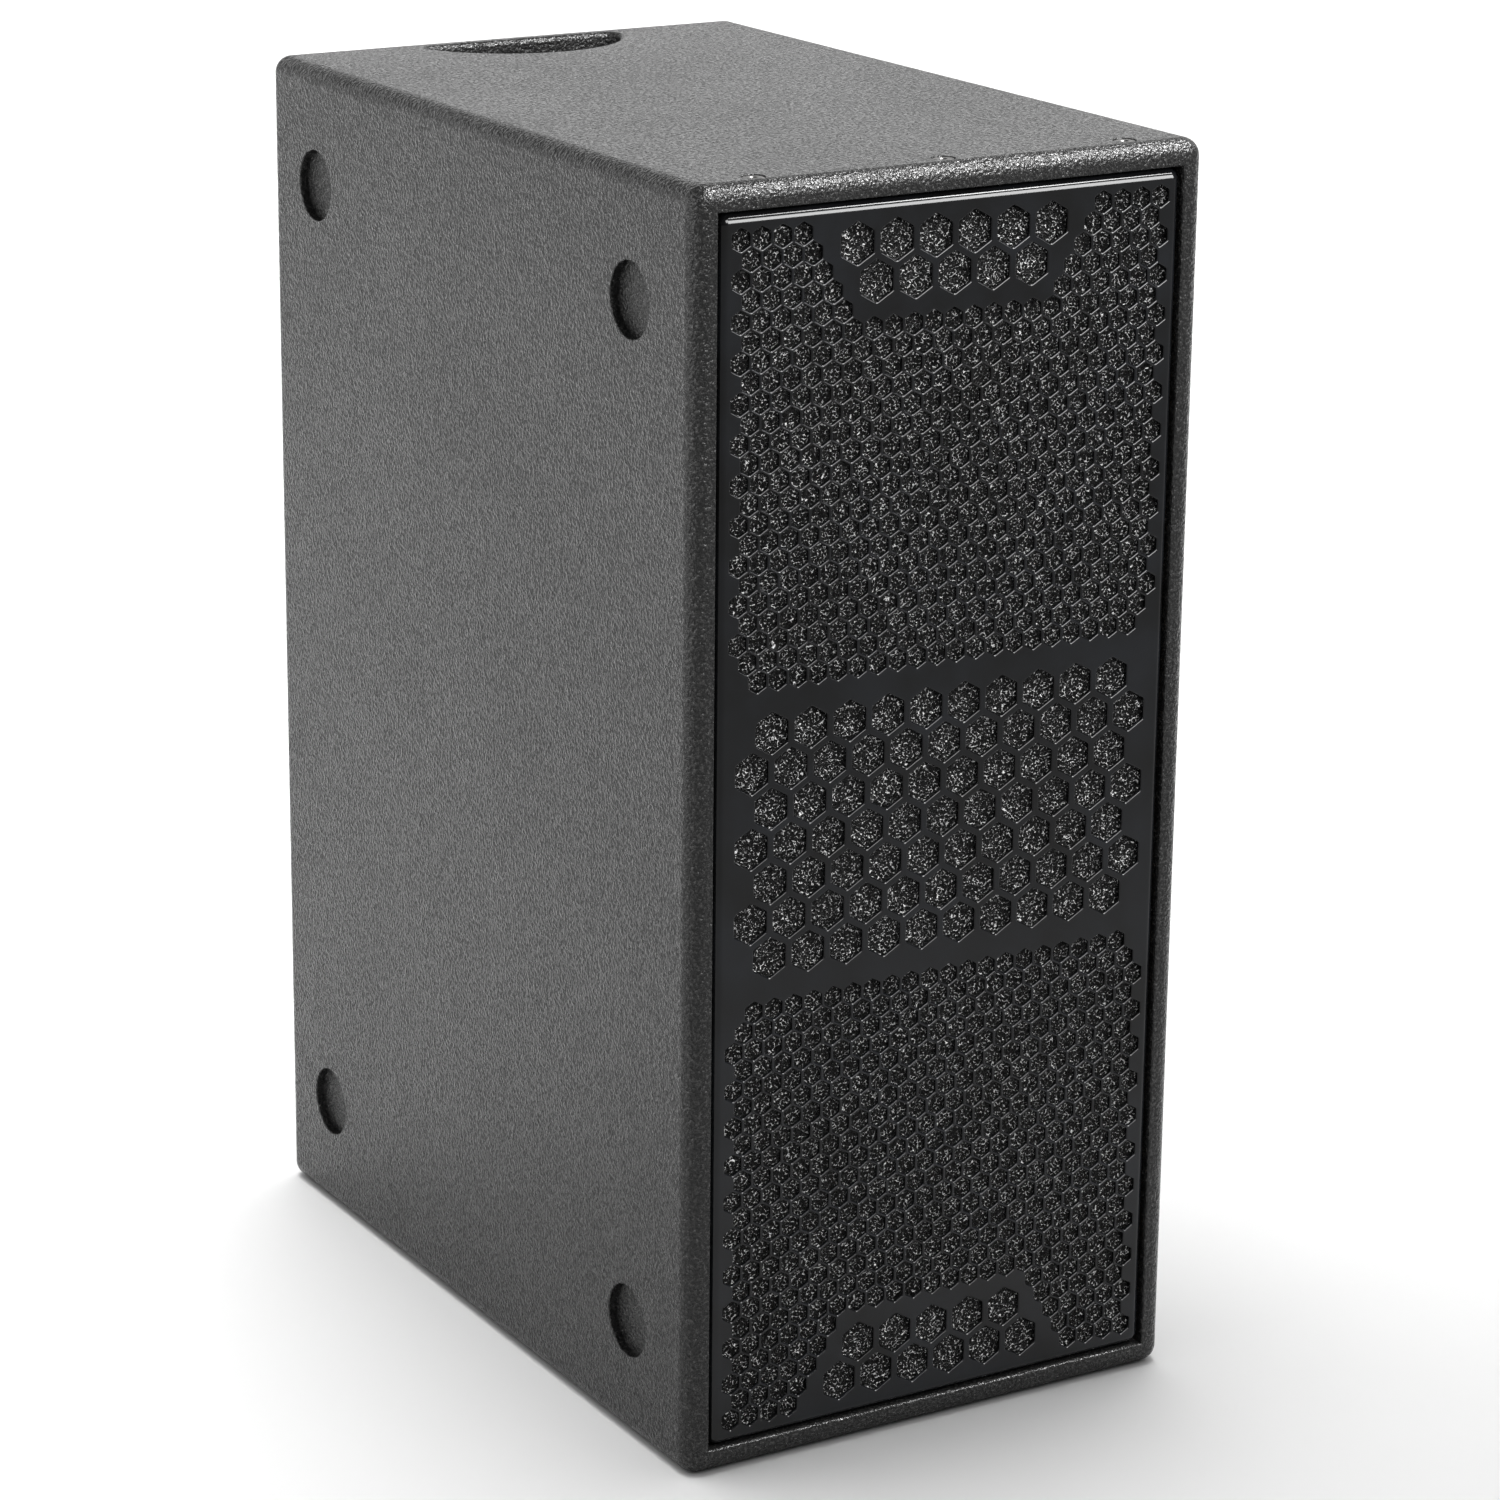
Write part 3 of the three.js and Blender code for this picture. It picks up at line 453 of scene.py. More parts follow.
def boolean(target, cutter, operation="DIFFERENCE"):
    """Cuts or trims target with cutter, which is then thrown away."""
    change = target.modifiers.new("cut", "BOOLEAN")
    change.operation, change.object, change.solver = operation, cutter, "EXACT"
    graph = bpy.context.evaluated_depsgraph_get()
    made = bpy.data.meshes.new_from_object(target.evaluated_get(graph))
    target.modifiers.clear()
    target.data = made
    bpy.data.objects.remove(cutter)
    return target


def tighten(made, sharp=SHARP):
    made.data.shade_smooth()
    made.data.set_sharp_from_angle(angle=math.radians(sharp))
    return made


def in_mm(outline):
    """An outline whose numbers are millimetres, in metres."""
    return [(radius * MM, at * MM) for radius, at in outline]


def rod(radius, low, high):
    """The outline of a plain round cutter."""
    return [(0, low), (radius, low), (radius, high), (0, high)]


def quarter_turn(steps):
    """The angles from 0 to a right angle, in equal steps."""
    return [math.pi / 2 * k / steps for k in range(steps + 1)]


def quarter_round(radius, steps):
    """How far in and how far down a rounded edge is, from its inner end to its outer one."""
    return [(radius * (1 - math.sin(t)), radius * (1 - math.cos(t))) for t in quarter_turn(steps)]


def at_depth(node, y):
    """The middle of a CAD node's box in X and Z, at that depth."""
    low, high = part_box(node)
    return Vector(((low.x + high.x) / 2, y, (low.z + high.z) / 2))


def block(name, low, high, material):
    corners = [(x, y, z) for x in (low[0], high[0]) for y in (low[1], high[1]) for z in (low[2], high[2])]
    faces = [(0, 1, 3, 2), (4, 6, 7, 5), (0, 4, 5, 1), (2, 3, 7, 6), (0, 2, 6, 4), (1, 5, 7, 3)]
    return add_object(name, mesh_of(name, corners, faces), material)


def rounded_box(name, low, high, radius, steps, material):
    """A box whose edges and corners are rounded, with a single face on each flat side."""
    low, high = np.array(low, float), np.array(high, float)
    centre, core = (low + high) / 2, (high - low) / 2 - radius
    ring = [radius * math.tan(math.pi / 4 * k / steps) for k in range(1, steps + 1)]
    lines = [[-c - o for o in reversed(ring)] + [-c, c] + [c + o for o in ring] for c in core]
    points, places, faces = [], {}, []

    def corner(axis, side, u, v):
        p = np.zeros(3)
        b, c = (axis + 1) % 3, (axis + 2) % 3
        p[axis], p[b], p[c] = side * (core[axis] + radius), lines[b][u], lines[c][v]
        inside = np.clip(p, -core, core)
        out = inside + (p - inside) / np.linalg.norm(p - inside) * radius + centre
        key = tuple(np.round(out / MM, 4))
        if key not in places:
            places[key] = len(points)
            points.append(out)
        return places[key]

    for axis in range(3):
        for side in (-1, 1):
            for u in range(len(ring) * 2 + 1):
                for v in range(len(ring) * 2 + 1):
                    quad = [corner(axis, side, u + a, v + b) for a, b in ((0, 0), (1, 0), (1, 1), (0, 1))]
                    faces.append(quad if side > 0 else quad[::-1])
    return add_object(name, mesh_of(name, points, faces), material)


def loft(name, loops, material, sharp=SHARP):
    """A closed skin over loops of equal length, first to last, with a cap at each end."""
    count = len(loops[0])
    points = [p for loop in loops for p in loop]
    last = len(points) - count
    faces = []
    for low in range(0, last, count):
        for k in range(count):
            after = (k + 1) % count
            faces.append((low + k, low + after, low + count + after, low + count + k))
    faces.append(tuple(range(count))[::-1])
    faces.append(tuple(range(last, len(points))))
    return add_object(name, outward(mesh_of(name, points, faces, sharp), sharp), material)


def outward(mesh, sharp=SHARP):
    """Turns every face round if the closed mesh is inside out."""
    mesh.calc_loop_triangles()
    corners = np.zeros(len(mesh.loop_triangles) * 3, np.int32)
    mesh.loop_triangles.foreach_get("vertices", corners)
    places = np.zeros(len(mesh.vertices) * 3)
    mesh.vertices.foreach_get("co", places)
    a, b, c = (places.reshape(-1, 3)[corners.reshape(-1, 3)[:, k]] for k in range(3))
    if np.einsum("ij,ij->i", a, np.cross(b, c)).sum() < 0:
        mesh.flip_normals()
        mesh.set_sharp_from_angle(angle=math.radians(sharp))
    return mesh


def softened(profile, radius, steps=3):
    """A closed outline with each of its corners rounded, less where its sides are short."""
    points = [Vector(p) for p in profile]
    out = []
    for k, here in enumerate(points):
        before, after = points[k - 1] - here, points[(k + 1) % len(points)] - here
        on_axis = abs(here.x) < 1e-9
        reach = min(radius, before.length * 0.45, after.length * 0.45)
        straight = abs(before.normalized().dot(after.normalized())) > 0.985
        if on_axis or straight:
            out.append(here)
            continue
        first, last = here + before.normalized() * reach, here + after.normalized() * reach
        for step in range(steps + 1):
            t = step / steps
            out.append(first * (1 - t) ** 2 + here * 2 * t * (1 - t) + last * t * t)
    return out


def turned(name, profile, material, centre, axis=Y_AXIS, round_off=0.0, segments=64, sharp=SHARP, start=0.0):
    """A turned piece: a closed outline of (radius, position) pairs about an axis through centre."""
    outline = softened(profile, round_off) if round_off else [Vector(p) for p in profile]
    side = axis.orthogonal().normalized()
    third = axis.cross(side)
    points, rings = [], []
    for p in outline:
        if abs(p.x) < 1e-9:
            rings.append([len(points)] * segments)
            points.append(centre + axis * p.y)
            continue
        rings.append(list(range(len(points), len(points) + segments)))
        for k in range(segments):
            turn = start + 2 * math.pi * k / segments
            points.append(centre + axis * p.y + (side * math.cos(turn) + third * math.sin(turn)) * p.x)
    faces = []
    for k, ring in enumerate(rings):
        other = rings[(k + 1) % len(rings)]
        for j in range(segments):
            i = (j + 1) % segments
            corners = list(dict.fromkeys((ring[j], ring[i], other[i], other[j])))
            if len(corners) > 2:
                faces.append(corners)
    return add_object(name, outward(mesh_of(name, points, faces, sharp), sharp), material)


def tube(name, route, radius, material, sides=16, step=4 * MM):
    """A round lead along a smooth line through the route's points, with its ends closed."""
    line = curve_through([Vector(p) for p in route], step)
    across = (line[1] - line[0]).orthogonal().normalized()
    loops = []
    for k, here in enumerate(line):
        along = (line[min(k + 1, len(line) - 1)] - line[max(k - 1, 0)]).normalized()
        across = (across - along * across.dot(along)).normalized()
        other = along.cross(across)
        turns = [2 * math.pi * j / sides for j in range(sides)]
        loops.append([here + (across * math.cos(t) + other * math.sin(t)) * radius for t in turns])
    return loft(name, loops, material)


def curve_through(points, step):
    """Points about a step apart on a centripetal curve through the given ones."""
    ends = [points[0] * 2 - points[1], *points, points[-1] * 2 - points[-2]]
    line = [points[0]]
    for a, b, c, d in zip(ends, ends[1:], ends[2:], ends[3:]):
        t1 = (b - a).length ** 0.5
        t2 = t1 + (c - b).length ** 0.5
        t3 = t2 + (d - c).length ** 0.5
        count = max(2, round((c - b).length / step))
        for k in range(1, count + 1):
            t = t1 + (t2 - t1) * k / count
            ab, bc, cd = a.lerp(b, t / t1), b.lerp(c, (t - t1) / (t2 - t1)), c.lerp(d, (t - t2) / (t3 - t2))
            abc, bcd = ab.lerp(bc, t / t2), bc.lerp(cd, (t - t1) / (t3 - t1))
            line.append(abc.lerp(bcd, (t - t1) / (t2 - t1)))
    return line


# ---------- cabinet panels ----------


def cabinet_box():
    """The painted cabinet's own box: the CAD box without the feet."""
    left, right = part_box("side_panel_left"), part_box("side_panel_right")
    return Vector(left[0]), Vector(right[1])


BOX_LOW, BOX_HIGH = cabinet_box()
BOX_CENTRE = (BOX_LOW + BOX_HIGH) / 2
BOX_CORE = np.array(BOX_HIGH - BOX_LOW) / 2 - EDGE_RADIUS
FRONT, BACK, TOP = BOX_LOW.y, BOX_HIGH.y, BOX_HIGH.z
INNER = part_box("rear_panel")


def shell_distance(points):
    """Each point's way out from the rounded box's core, and how far that is."""
    from_centre = points - np.array(BOX_CENTRE)
    away = from_centre - np.clip(from_centre, -BOX_CORE, BOX_CORE)
    return away, np.linalg.norm(away, axis=1)


def shade_as_one(made):
    """Gives the panel's outer faces the whole cabinet's smooth normals, so that no joint shows."""
    mesh = tighten(made).data
    places = np.zeros(len(mesh.vertices) * 3)
    mesh.vertices.foreach_get("co", places)
    away, far = shell_distance(places.reshape(-1, 3))
    on_shell = np.abs(far - EDGE_RADIUS) < SHELL_TOLERANCE
    normals = np.array([n.vector for n in mesh.corner_normals])
    for face in mesh.polygons:
        corners = list(face.vertices)
        if not on_shell[corners].all():
            continue
        middle, reach = shell_distance(np.array([face.center]))
        if abs(reach[0] - EDGE_RADIUS) > 0.1 * MM or middle[0] @ np.array(face.normal) < 0.9 * reach[0]:
            continue
        for loop in face.loop_indices:
            at = mesh.loops[loop].vertex_index
            normals[loop] = away[at] / far[at]
    mesh.normals_split_custom_set([tuple(n) for n in normals])
    return made


def panel(node, cutters=()):
    """One cabinet panel, taken from the whole rounded box and then cut."""
    low, high = (Vector(c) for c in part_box(node))
    for axis in range(3):
        if low[axis] < BOX_LOW[axis] + HAIR:
            low[axis] -= OVERCUT
        if high[axis] > BOX_HIGH[axis] - HAIR:
            high[axis] += OVERCUT
    made = rounded_box(f"{node}_skin", BOX_LOW, BOX_HIGH, EDGE_RADIUS, EDGE_STEPS, COATING)
    boolean(made, block("trim", low, high, COATING), "INTERSECT")
    for cutter in cutters:
        boolean(made, cutter())
    return stand_in(shade_as_one(made), node)


def foot_places():
    """The four (y, z) places of the recesses and the feet, in the order of the CAD's numbers."""
    ys = (FRONT + FOOT_FROM_FRONT, BACK - FOOT_FROM_BACK)
    return [(y, z) for y in ys for z in (FOOT_FROM_END, TOP - FOOT_FROM_END)]


def flared(radius, depth, flare):
    """The outline of a round cutter from -depth up to a surface at 0, where it opens smoothly."""
    mouth = [(radius + out, HAIR - down) for down, out in quarter_round(flare, 5)]
    return [(0, -depth), (radius, -depth), *mouth, (radius + flare, 2 * MM), (0, 2 * MM)]


def recess_cutter(y, z):
    outline, centre = flared(RECESS_RADIUS, RECESS_DEPTH, RECESS_ROUND), Vector((BOX_LOW.x, y, z))
    return partial(turned, "recess", outline, COATING, centre, -X_AXIS, segments=96, start=CUT_START)


def screw_cutters(up):
    """A counterbore and a bore for each of the three grille screws of the top or the bottom."""
    cutters = []
    head = flared(COUNTERBORE_RADIUS, COUNTERBORE_DEPTH, COUNTERBORE_ROUND)
    shank = rod(SCREW_BORE, -20 * MM, 1 * MM)
    z = TOP if up > 0 else BOX_LOW.z
    for k in (-1, 0, 1):
        line = (Vector((k * SCREW_SPACING, FRONT + SCREW_FROM_FRONT, z)), Z_AXIS * up)
        cutters.append(partial(turned, "counterbore", head, COATING, *line, start=CUT_START))
        cutters.append(partial(turned, "shank", shank, COATING, *line, segments=24, start=CUT_START / 2))
    return cutters


def rim_cutter():
    """Rounds the front edge of the opening that the grille sits in."""
    low, high = INNER
    half_x, half_z = (high.x - low.x) / 2, (high.z - low.z) / 2
    middle = (high.z + low.z) / 2
    loops = []
    for grow, deep in [(RIM_ROUND, -2 * MM), *quarter_round(RIM_ROUND, 5), (-0.02 * MM, 6 * MM)]:
        x, z, y = half_x + grow, half_z + grow, FRONT + deep
        loops.append([(-x, y, middle - z), (x, y, middle - z), (x, y, middle + z), (-x, y, middle + z)])
    return loft("rim", loops, COATING)


def slot_outline(grow, flat_grow, corner, count=10):
    """The D of the hand slot, with its round side and its flat side grown outwards, as (x, y) pairs."""
    radius = (SLOT_HALF_LENGTH**2 + SLOT_DEPTH**2) / (2 * SLOT_DEPTH)
    flat = BACK - SLOT_FROM_BACK + flat_grow
    middle = BACK - SLOT_FROM_BACK - SLOT_DEPTH + radius
    radius += grow
    corner_y = flat - corner
    corner_x = math.sqrt((radius - corner) ** 2 - (corner_y - middle) ** 2)
    lean = math.atan2(corner_y - middle, corner_x)
    round_steps = count * 5
    arcs = [
        (corner_x, corner_y, corner, lean, math.pi / 2, count, range(count + 1)),
        (-corner_x, corner_y, corner, math.pi / 2, math.pi - lean, count, range(count + 1)),
        (0, middle, radius, math.pi - lean, 2 * math.pi + lean, round_steps, range(1, round_steps)),
    ]
    outline = []
    for x, y, size, start, end, steps, places in arcs:
        for turn in (start + (end - start) * k / steps for k in places):
            outline.append((x + size * math.cos(turn), y + size * math.sin(turn)))
    return outline


def slot_cutter():
    """The hand slot through the top panel, with a rounded upper edge."""
    levels = [(0, INNER[1].z - 1 * MM), (0, TOP - SLOT_ROUND)]
    levels += [(out, TOP - down) for down, out in quarter_round(SLOT_ROUND, 7)[1:]]
    levels.append((SLOT_ROUND, TOP + 2 * MM))
    loops = [[(x, y, z) for x, y in slot_outline(g, g, SLOT_CORNER + g)] for g, z in levels]
    return loft("slot", loops, COATING)


def handle_pocket():
    """A moulded cup under the slot that reaches further forward than it, so that fingers hook in."""
    low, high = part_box("handle_pocket")
    skins = []
    for wall, base in ((POCKET_WALL, low.z), (0, low.z + POCKET_WALL)):
        levels = [(inward, base + up) for inward, up in quarter_round(POCKET_ROUND, 6)]
        loops = []
        for shrink, z in [*levels, (0, high.z)]:
            grown = slot_outline(POCKET_UNDERCUT + wall - shrink, wall - shrink, SLOT_CORNER)
            loops.append([(x, y, z) for x, y in grown])
        skins.append(loops)
    outer, inner = skins
    made = loft("handle_pocket_moulding", outer + inner[::-1], PLASTIC, 40)
    return stand_in(made, "handle_pocket")


def plate_rebate():
    low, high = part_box("input_plate")
    grow = Vector((0.35 * MM, 0, 0.35 * MM))
    top = Vector((high.x, BACK + 2 * MM, high.z))
    return rounded_prism("rebate", low - grow, top + grow, 3.3 * MM, COATING)


def rounded_prism(name, low, high, radius, material, bevel=0.0):
    """A plate standing in X and Z with rounded corners, and its two faces' edges softened."""
    levels = [(bevel, low.y), (0, low.y + bevel), (0, high.y - bevel), (bevel, high.y)]
    if not bevel:
        levels = [(0, low.y), (0, high.y)]
    loops = []
    for inset, y in levels:
        loops.append([(x, y, z) for x, z in rounded_rectangle(low.x, high.x, low.z, high.z, radius, inset)])
    return loft(name, loops, material)


def rounded_rectangle(x0, x1, z0, z1, radius, inset=0.0, steps=5):
    outline = []
    for cx, cz, start in ((x1, z1, 0), (x0, z1, 1), (x0, z0, 2), (x1, z0, 3)):
        mx = cx - radius if cx == x1 else cx + radius
        mz = cz - radius if cz == z1 else cz + radius
        for k in range(steps + 1):
            turn = math.pi / 2 * (start + k / steps)
            outline.append((mx + (radius - inset) * math.cos(turn), mz + (radius - inset) * math.sin(turn)))
    return outline


def socket_bore(k):
    centre = at_depth(f"input_socket_{k}", INNER[0].y - 1 * MM)
    return turned("bore", rod(SOCKET_BORE, -5 * MM, 20 * MM), COATING, centre, start=CUT_START)


def cabinet_panels():
    panel("side_panel_left", [rim_cutter, *(recess_cutter(y, z) for y, z in foot_places())])
    panel("side_panel_right", [rim_cutter])
    panel("top_panel", [rim_cutter, slot_cutter, *screw_cutters(1)])
    panel("bottom_panel", [rim_cutter, *screw_cutters(-1)])
    panel("rear_panel", [plate_rebate, partial(socket_bore, 1), partial(socket_bore, 2)])
    handle_pocket()


# ---------- grille ----------


def small_rows():
    """(height above the middle, columns) of each row of small holes in the upper zone."""
    rows = []
    for row in range(SMALL_ROWS):
        height = SMALL_OUTER_ROW + (SMALL_INNER_ROW - SMALL_OUTER_ROW) * row / (SMALL_ROWS - 1)
        columns = [k - 10.5 for k in range(22)] if row % 2 == 0 else [k - 10.0 for k in range(21)]
        ends = {0: 4, 1: 4, 2: 5, 3: 5, 4: 6}.get(row)
        if ends:
            columns = columns[:ends] + columns[-ends:]
        if row == SMALL_ROWS - 1:
            columns = columns[1:-1]
        rows.append((height, columns))
    return rows


def hole_table():
    """(x, z, apothem, corner radius) of all the hexagons, with z from the middle."""
    holes = []
    for height, columns in small_rows():
        for side in (-1, 1):
            holes += [(c * SMALL_PITCH, side * height, SMALL_APOTHEM, SMALL_CORNER) for c in columns]
    for row in range(-3, 4):
        count = 11 if row % 2 == 0 else 10
        holes += big_row(count, row * BIG_PITCH * ROW_STEP)
    for side in (-1, 1):
        holes += big_row(6, side * BIG_PATCH_ROW)
        holes += big_row(5, side * (BIG_PATCH_ROW - BIG_PITCH * ROW_STEP))
    return holes


def big_row(count, height):
    return [((k - (count - 1) / 2) * BIG_PITCH, height, BIG_APOTHEM, BIG_CORNER) for k in range(count)]


def hexagon(x, z, apothem, corner):
    """A pointed-top hexagon with rounded corners: its points and their outward directions."""
    points, outs = [], []
    reach = (apothem - corner) / math.cos(math.pi / 6)
    for k in range(6):
        middle = math.pi / 2 + k * math.pi / 3
        for j in range(HOLE_ARC + 1):
            turn = middle + math.pi / 3 * (j / HOLE_ARC - 0.5)
            out = (math.cos(turn), math.sin(turn))
            across = x + reach * math.cos(middle) + corner * out[0]
            points.append((across, z + reach * math.sin(middle) + corner * out[1]))
            outs.append(out)
    return points, outs


def encloses(outline, at):
    """Whether a point is inside a convex outline whose corners run anticlockwise."""
    sides, to_point = np.roll(outline, -1, axis=0) - outline, at - outline
    return (sides[:, 0] * to_point[:, 1] - sides[:, 1] * to_point[:, 0]).min() > 0


class Skin:
    """Points, faces and each face corner's own normal."""

    def __init__(self):
        self.points, self.faces, self.normals = [], [], []

    def loop(self, points):
        start = len(self.points)
        self.points.extend(points)
        return list(range(start, len(self.points)))

    def bridge(self, first, second, first_normals, second_normals):
        """Faces between two closed loops, the first nearer the middle on a face towards the front."""
        count = len(first)
        for k in range(count):
            n = (k + 1) % count
            self.faces.append((first[k], second[k], second[n], first[n]))
            self.normals += [first_normals[k], second_normals[k], second_normals[n], first_normals[n]]

    def sheet(self, loops, normal):
        """A flat face in X and Z within the first, convex loop and outside the others."""
        used = [i for loop in loops for i in loop]
        flat = [Vector((self.points[i][0], self.points[i][2])) for i in used]
        edges, start = [], 0
        for loop in loops:
            count = len(loop)
            edges += [(start + k, start + (k + 1) % count) for k in range(count)]
            start += count
        _, _, faces, origin, _, _ = delaunay_2d_cdt(flat, edges, [], 0, 1e-9)
        inside = KDTree(len(loops) - 1)
        outlines = []
        for k, loop in enumerate(loops[1:]):
            ring = np.array([(self.points[i][0], self.points[i][2]) for i in loop])
            outlines.append(ring)
            inside.insert((*ring.mean(0), 0), k)
        inside.balance()
        for face in faces:
            corners = [used[origin[i][0]] for i in face]
            at = np.mean([(self.points[i][0], self.points[i][2]) for i in corners], axis=0)
            if any(encloses(outlines[k], at) for _, k, _ in inside.find_n((*at, 0), 4)):
                continue
            self.faces.append(tuple(corners if normal[1] < 0 else corners[::-1]))
            self.normals += [normal] * 3

    def build(self, name, material):
        mesh = bpy.data.meshes.new(name)
        mesh.from_pydata(self.points, [], self.faces)
        mesh.update()
        mesh.shade_smooth()
        mesh.normals_split_custom_set(self.normals)
        return add_object(name, mesh, material)


def grille():
    """A folded pan of perforated sheet: lipped holes, a rounded fold and flanges on four sides."""
    low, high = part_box("grille")
    middle = (low.z + high.z) / 2
    half_x, half_z = (high.x - low.x) / 2, (high.z - low.z) / 2
    front, inside, end = low.y, low.y + SHEET, high.y
    skin = Skin()

    sides = (-half_x, half_x, middle - half_z, middle + half_z)
    turns = [math.pi / 2 * (quarter + k / 4) for quarter in range(4) for k in range(5)]
    outs = [(math.cos(t), math.sin(t)) for t in turns]

    def ring(inset, y):
        return skin.loop([(x, y, z) for x, z in rounded_rectangle(*sides, GRILLE_CORNER, inset, 4)])

    def facing(outward, forward):
        return [(x * outward, -forward, z * outward) for x, z in outs]

    fold = []
    for turn in quarter_turn(6):
        at = ring(BEND_RADIUS * (1 - math.sin(turn)), front + BEND_RADIUS * (1 - math.cos(turn)))
        fold.append((at, facing(math.sin(turn), math.cos(turn))))
    for (a, na), (b, nb) in zip(fold, fold[1:]):
        skin.bridge(a, b, na, nb)
    flange_end, lip_end = ring(0, end), ring(SHEET, end)
    inner_start = ring(SHEET, inside + INNER_FOLD)
    inner_face = ring(BEND_RADIUS, inside)
    skin.bridge(fold[-1][0], flange_end, facing(1, 0), facing(1, 0))
    skin.bridge(flange_end, lip_end, facing(0, -1), facing(0, -1))
    skin.bridge(lip_end, inner_start, facing(-1, 0), facing(-1, 0))
    skin.bridge(inner_start, inner_face, facing(-1, 0), facing(0, -1))

    front_loops, back_loops = [fold[0][0]], [inner_face]
    for x, z, apothem, corner in hole_table():
        rings = []
        for turn in quarter_turn(3):
            grow = LIP * (1 - math.sin(turn))
            points, outs_here = hexagon(x, middle + z, apothem + grow, corner + grow)
            y = front + LIP * (1 - math.cos(turn))
            lean, face_on = math.sin(turn), math.cos(turn)
            normals = [(-ox * lean, -face_on, -oz * lean) for ox, oz in outs_here]
            rings.append((skin.loop([(px, y, pz) for px, pz in points]), normals))
        back = skin.loop([(skin.points[i][0], inside, skin.points[i][2]) for i in rings[-1][0]])
        for (a, na), (b, nb) in zip(rings, rings[1:]):
            skin.bridge(b, a, nb, na)
        skin.bridge(back, rings[-1][0], rings[-1][1], rings[-1][1])
        front_loops.append(rings[0][0])
        back_loops.append(back)
    skin.sheet(front_loops, (0, -1, 0))
    skin.sheet(back_loops, (0, 1, 0))
    made = skin.build("grille_sheet", POWDER_COAT)
    sheet_metal.objects.link(made)
    return stand_in(made, "grille")


def grille_foam():
    """The open-cell sheet behind the holes, its front face broken up by pores."""
    low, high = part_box("grille_foam")
    columns, rows = round((high.x - low.x) / FOAM_STEP), round((high.z - low.z) / FOAM_STEP)
    points, faces = [], []
    for row in range(rows + 1):
        z = low.z + FOAM_MARGIN + (high.z - low.z - 2 * FOAM_MARGIN) * row / rows
        for column in range(columns + 1):
            x = low.x + FOAM_MARGIN + (high.x - low.x - 2 * FOAM_MARGIN) * column / columns
            pore = noise.cell(Vector((x, 0, z)) / FOAM_PORE) * 0.45
            pore += noise.noise(Vector((x, 5, z)) / FOAM_WAVE) * 0.5
            points.append((x, low.y + 1.0 * MM + pore * FOAM_RELIEF, z))
    wide = columns + 1
    for row in range(rows):
        for column in range(columns):
            at = row * wide + column
            faces.append((at, at + 1, at + wide + 1, at + wide))
    rim = list(range(wide))
    rim += [wide * row + columns for row in range(1, rows + 1)]
    rim += [wide * rows + k for k in range(columns - 1, -1, -1)]
    rim += [wide * row for row in range(rows - 1, 0, -1)]
    start = len(points)
    points += [(points[k][0], high.y - FOAM_MARGIN, points[k][2]) for k in rim]
    for k in range(len(rim)):
        n = (k + 1) % len(rim)
        faces.append((rim[n], rim[k], start + k, start + n))
    faces.append(tuple(start + k for k in range(len(rim)))[::-1])
    made = add_object("foam_sheet", outward(mesh_of("foam_sheet", points, faces, 80), 80), FOAM)
    return stand_in(made, "grille_foam")


# ---------- screws ----------


def cap_screw(node, size, material, tip, axis):
    """A cap screw from its tip along axis, with a broken edge and a hexagon key hole."""
    shank, length, head, head_height, key = size
    thread = []
    pitch, depth = 0.8 * MM, 0.22 * MM
    turns = int((length - 2 * MM) / pitch)
    for k in range(turns):
        at = 0.6 * MM + k * pitch
        thread += [(shank - depth, at), (shank, at + pitch / 2)]
    top = length + head_height
    outline = [(0, 0), (shank - 2 * depth, 0), *thread, (shank - depth, length), (head - 0.3 * MM, length)]
    outline += [(head, length + 0.3 * MM), (head, top - 0.55 * MM), (head - 0.16 * MM, top - 0.2 * MM)]
    outline += [(head - 0.55 * MM, top), (0, top)]
    made = turned(f"{node}_detail", outline, material, tip, axis, segments=48, sharp=40)
    mouth = tip + axis * (top - head_height * 0.62)
    boolean(made, turned("key", rod(key, 0, head_height), material, mouth, axis, segments=6, start=CUT_START))
    cone = [(0, -key * 0.5), (key * 1.5, key), (0, key)]
    mouth = tip + axis * (top - key * 0.64)
    boolean(made, turned("lead_in", cone, material, mouth, axis, segments=24, start=CUT_START / 2))
    return stand_in(tighten(made, 40), node)


def grille_screws():
    for end, up in (("top", 1), ("bottom", -1)):
        for k in (1, 2, 3):
            node = f"grille_screw_{end}_{k}"
            low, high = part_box(node)
            tip = at_depth(node, (low.y + high.y) / 2)
            tip.z = low.z if up > 0 else high.z
            cap_screw(node, GRILLE_SCREW, SCREW, tip, Z_AXIS * up)


def plate_screws():
    for k in range(1, 5):
        node = f"plate_screw_{k}"
        cap_screw(node, PLATE_SCREW, SCREW, at_depth(node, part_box(node)[0].y), Y_AXIS)


# ---------- feet ----------


def feet():
    outline = [(2.4, 0), (17, 0), (16.9, 2.2), (16.3, 2.8), (16.3, 3.6), (16.6, 4.2), (15.5, 9)]
    outline += [(13.6, 9), (13, 8.5), (11.6, 8.5), (11, 9), (6, 9), (6, 4), (2.4, 4)]
    for k, (y, z) in enumerate(foot_places(), 1):
        base = Vector((BOX_HIGH.x, y, z))
        foot = turned(f"foot_{k}_pad", in_mm(outline), RUBBER, base, X_AXIS, 0.5 * MM, 80)
        stand_in(foot, f"foot_{k}")
        cap_screw(f"foot_screw_{k}", FOOT_SCREW, ZINC, base - X_AXIS * 10 * MM, X_AXIS)


# ---------- rear input plate ----------


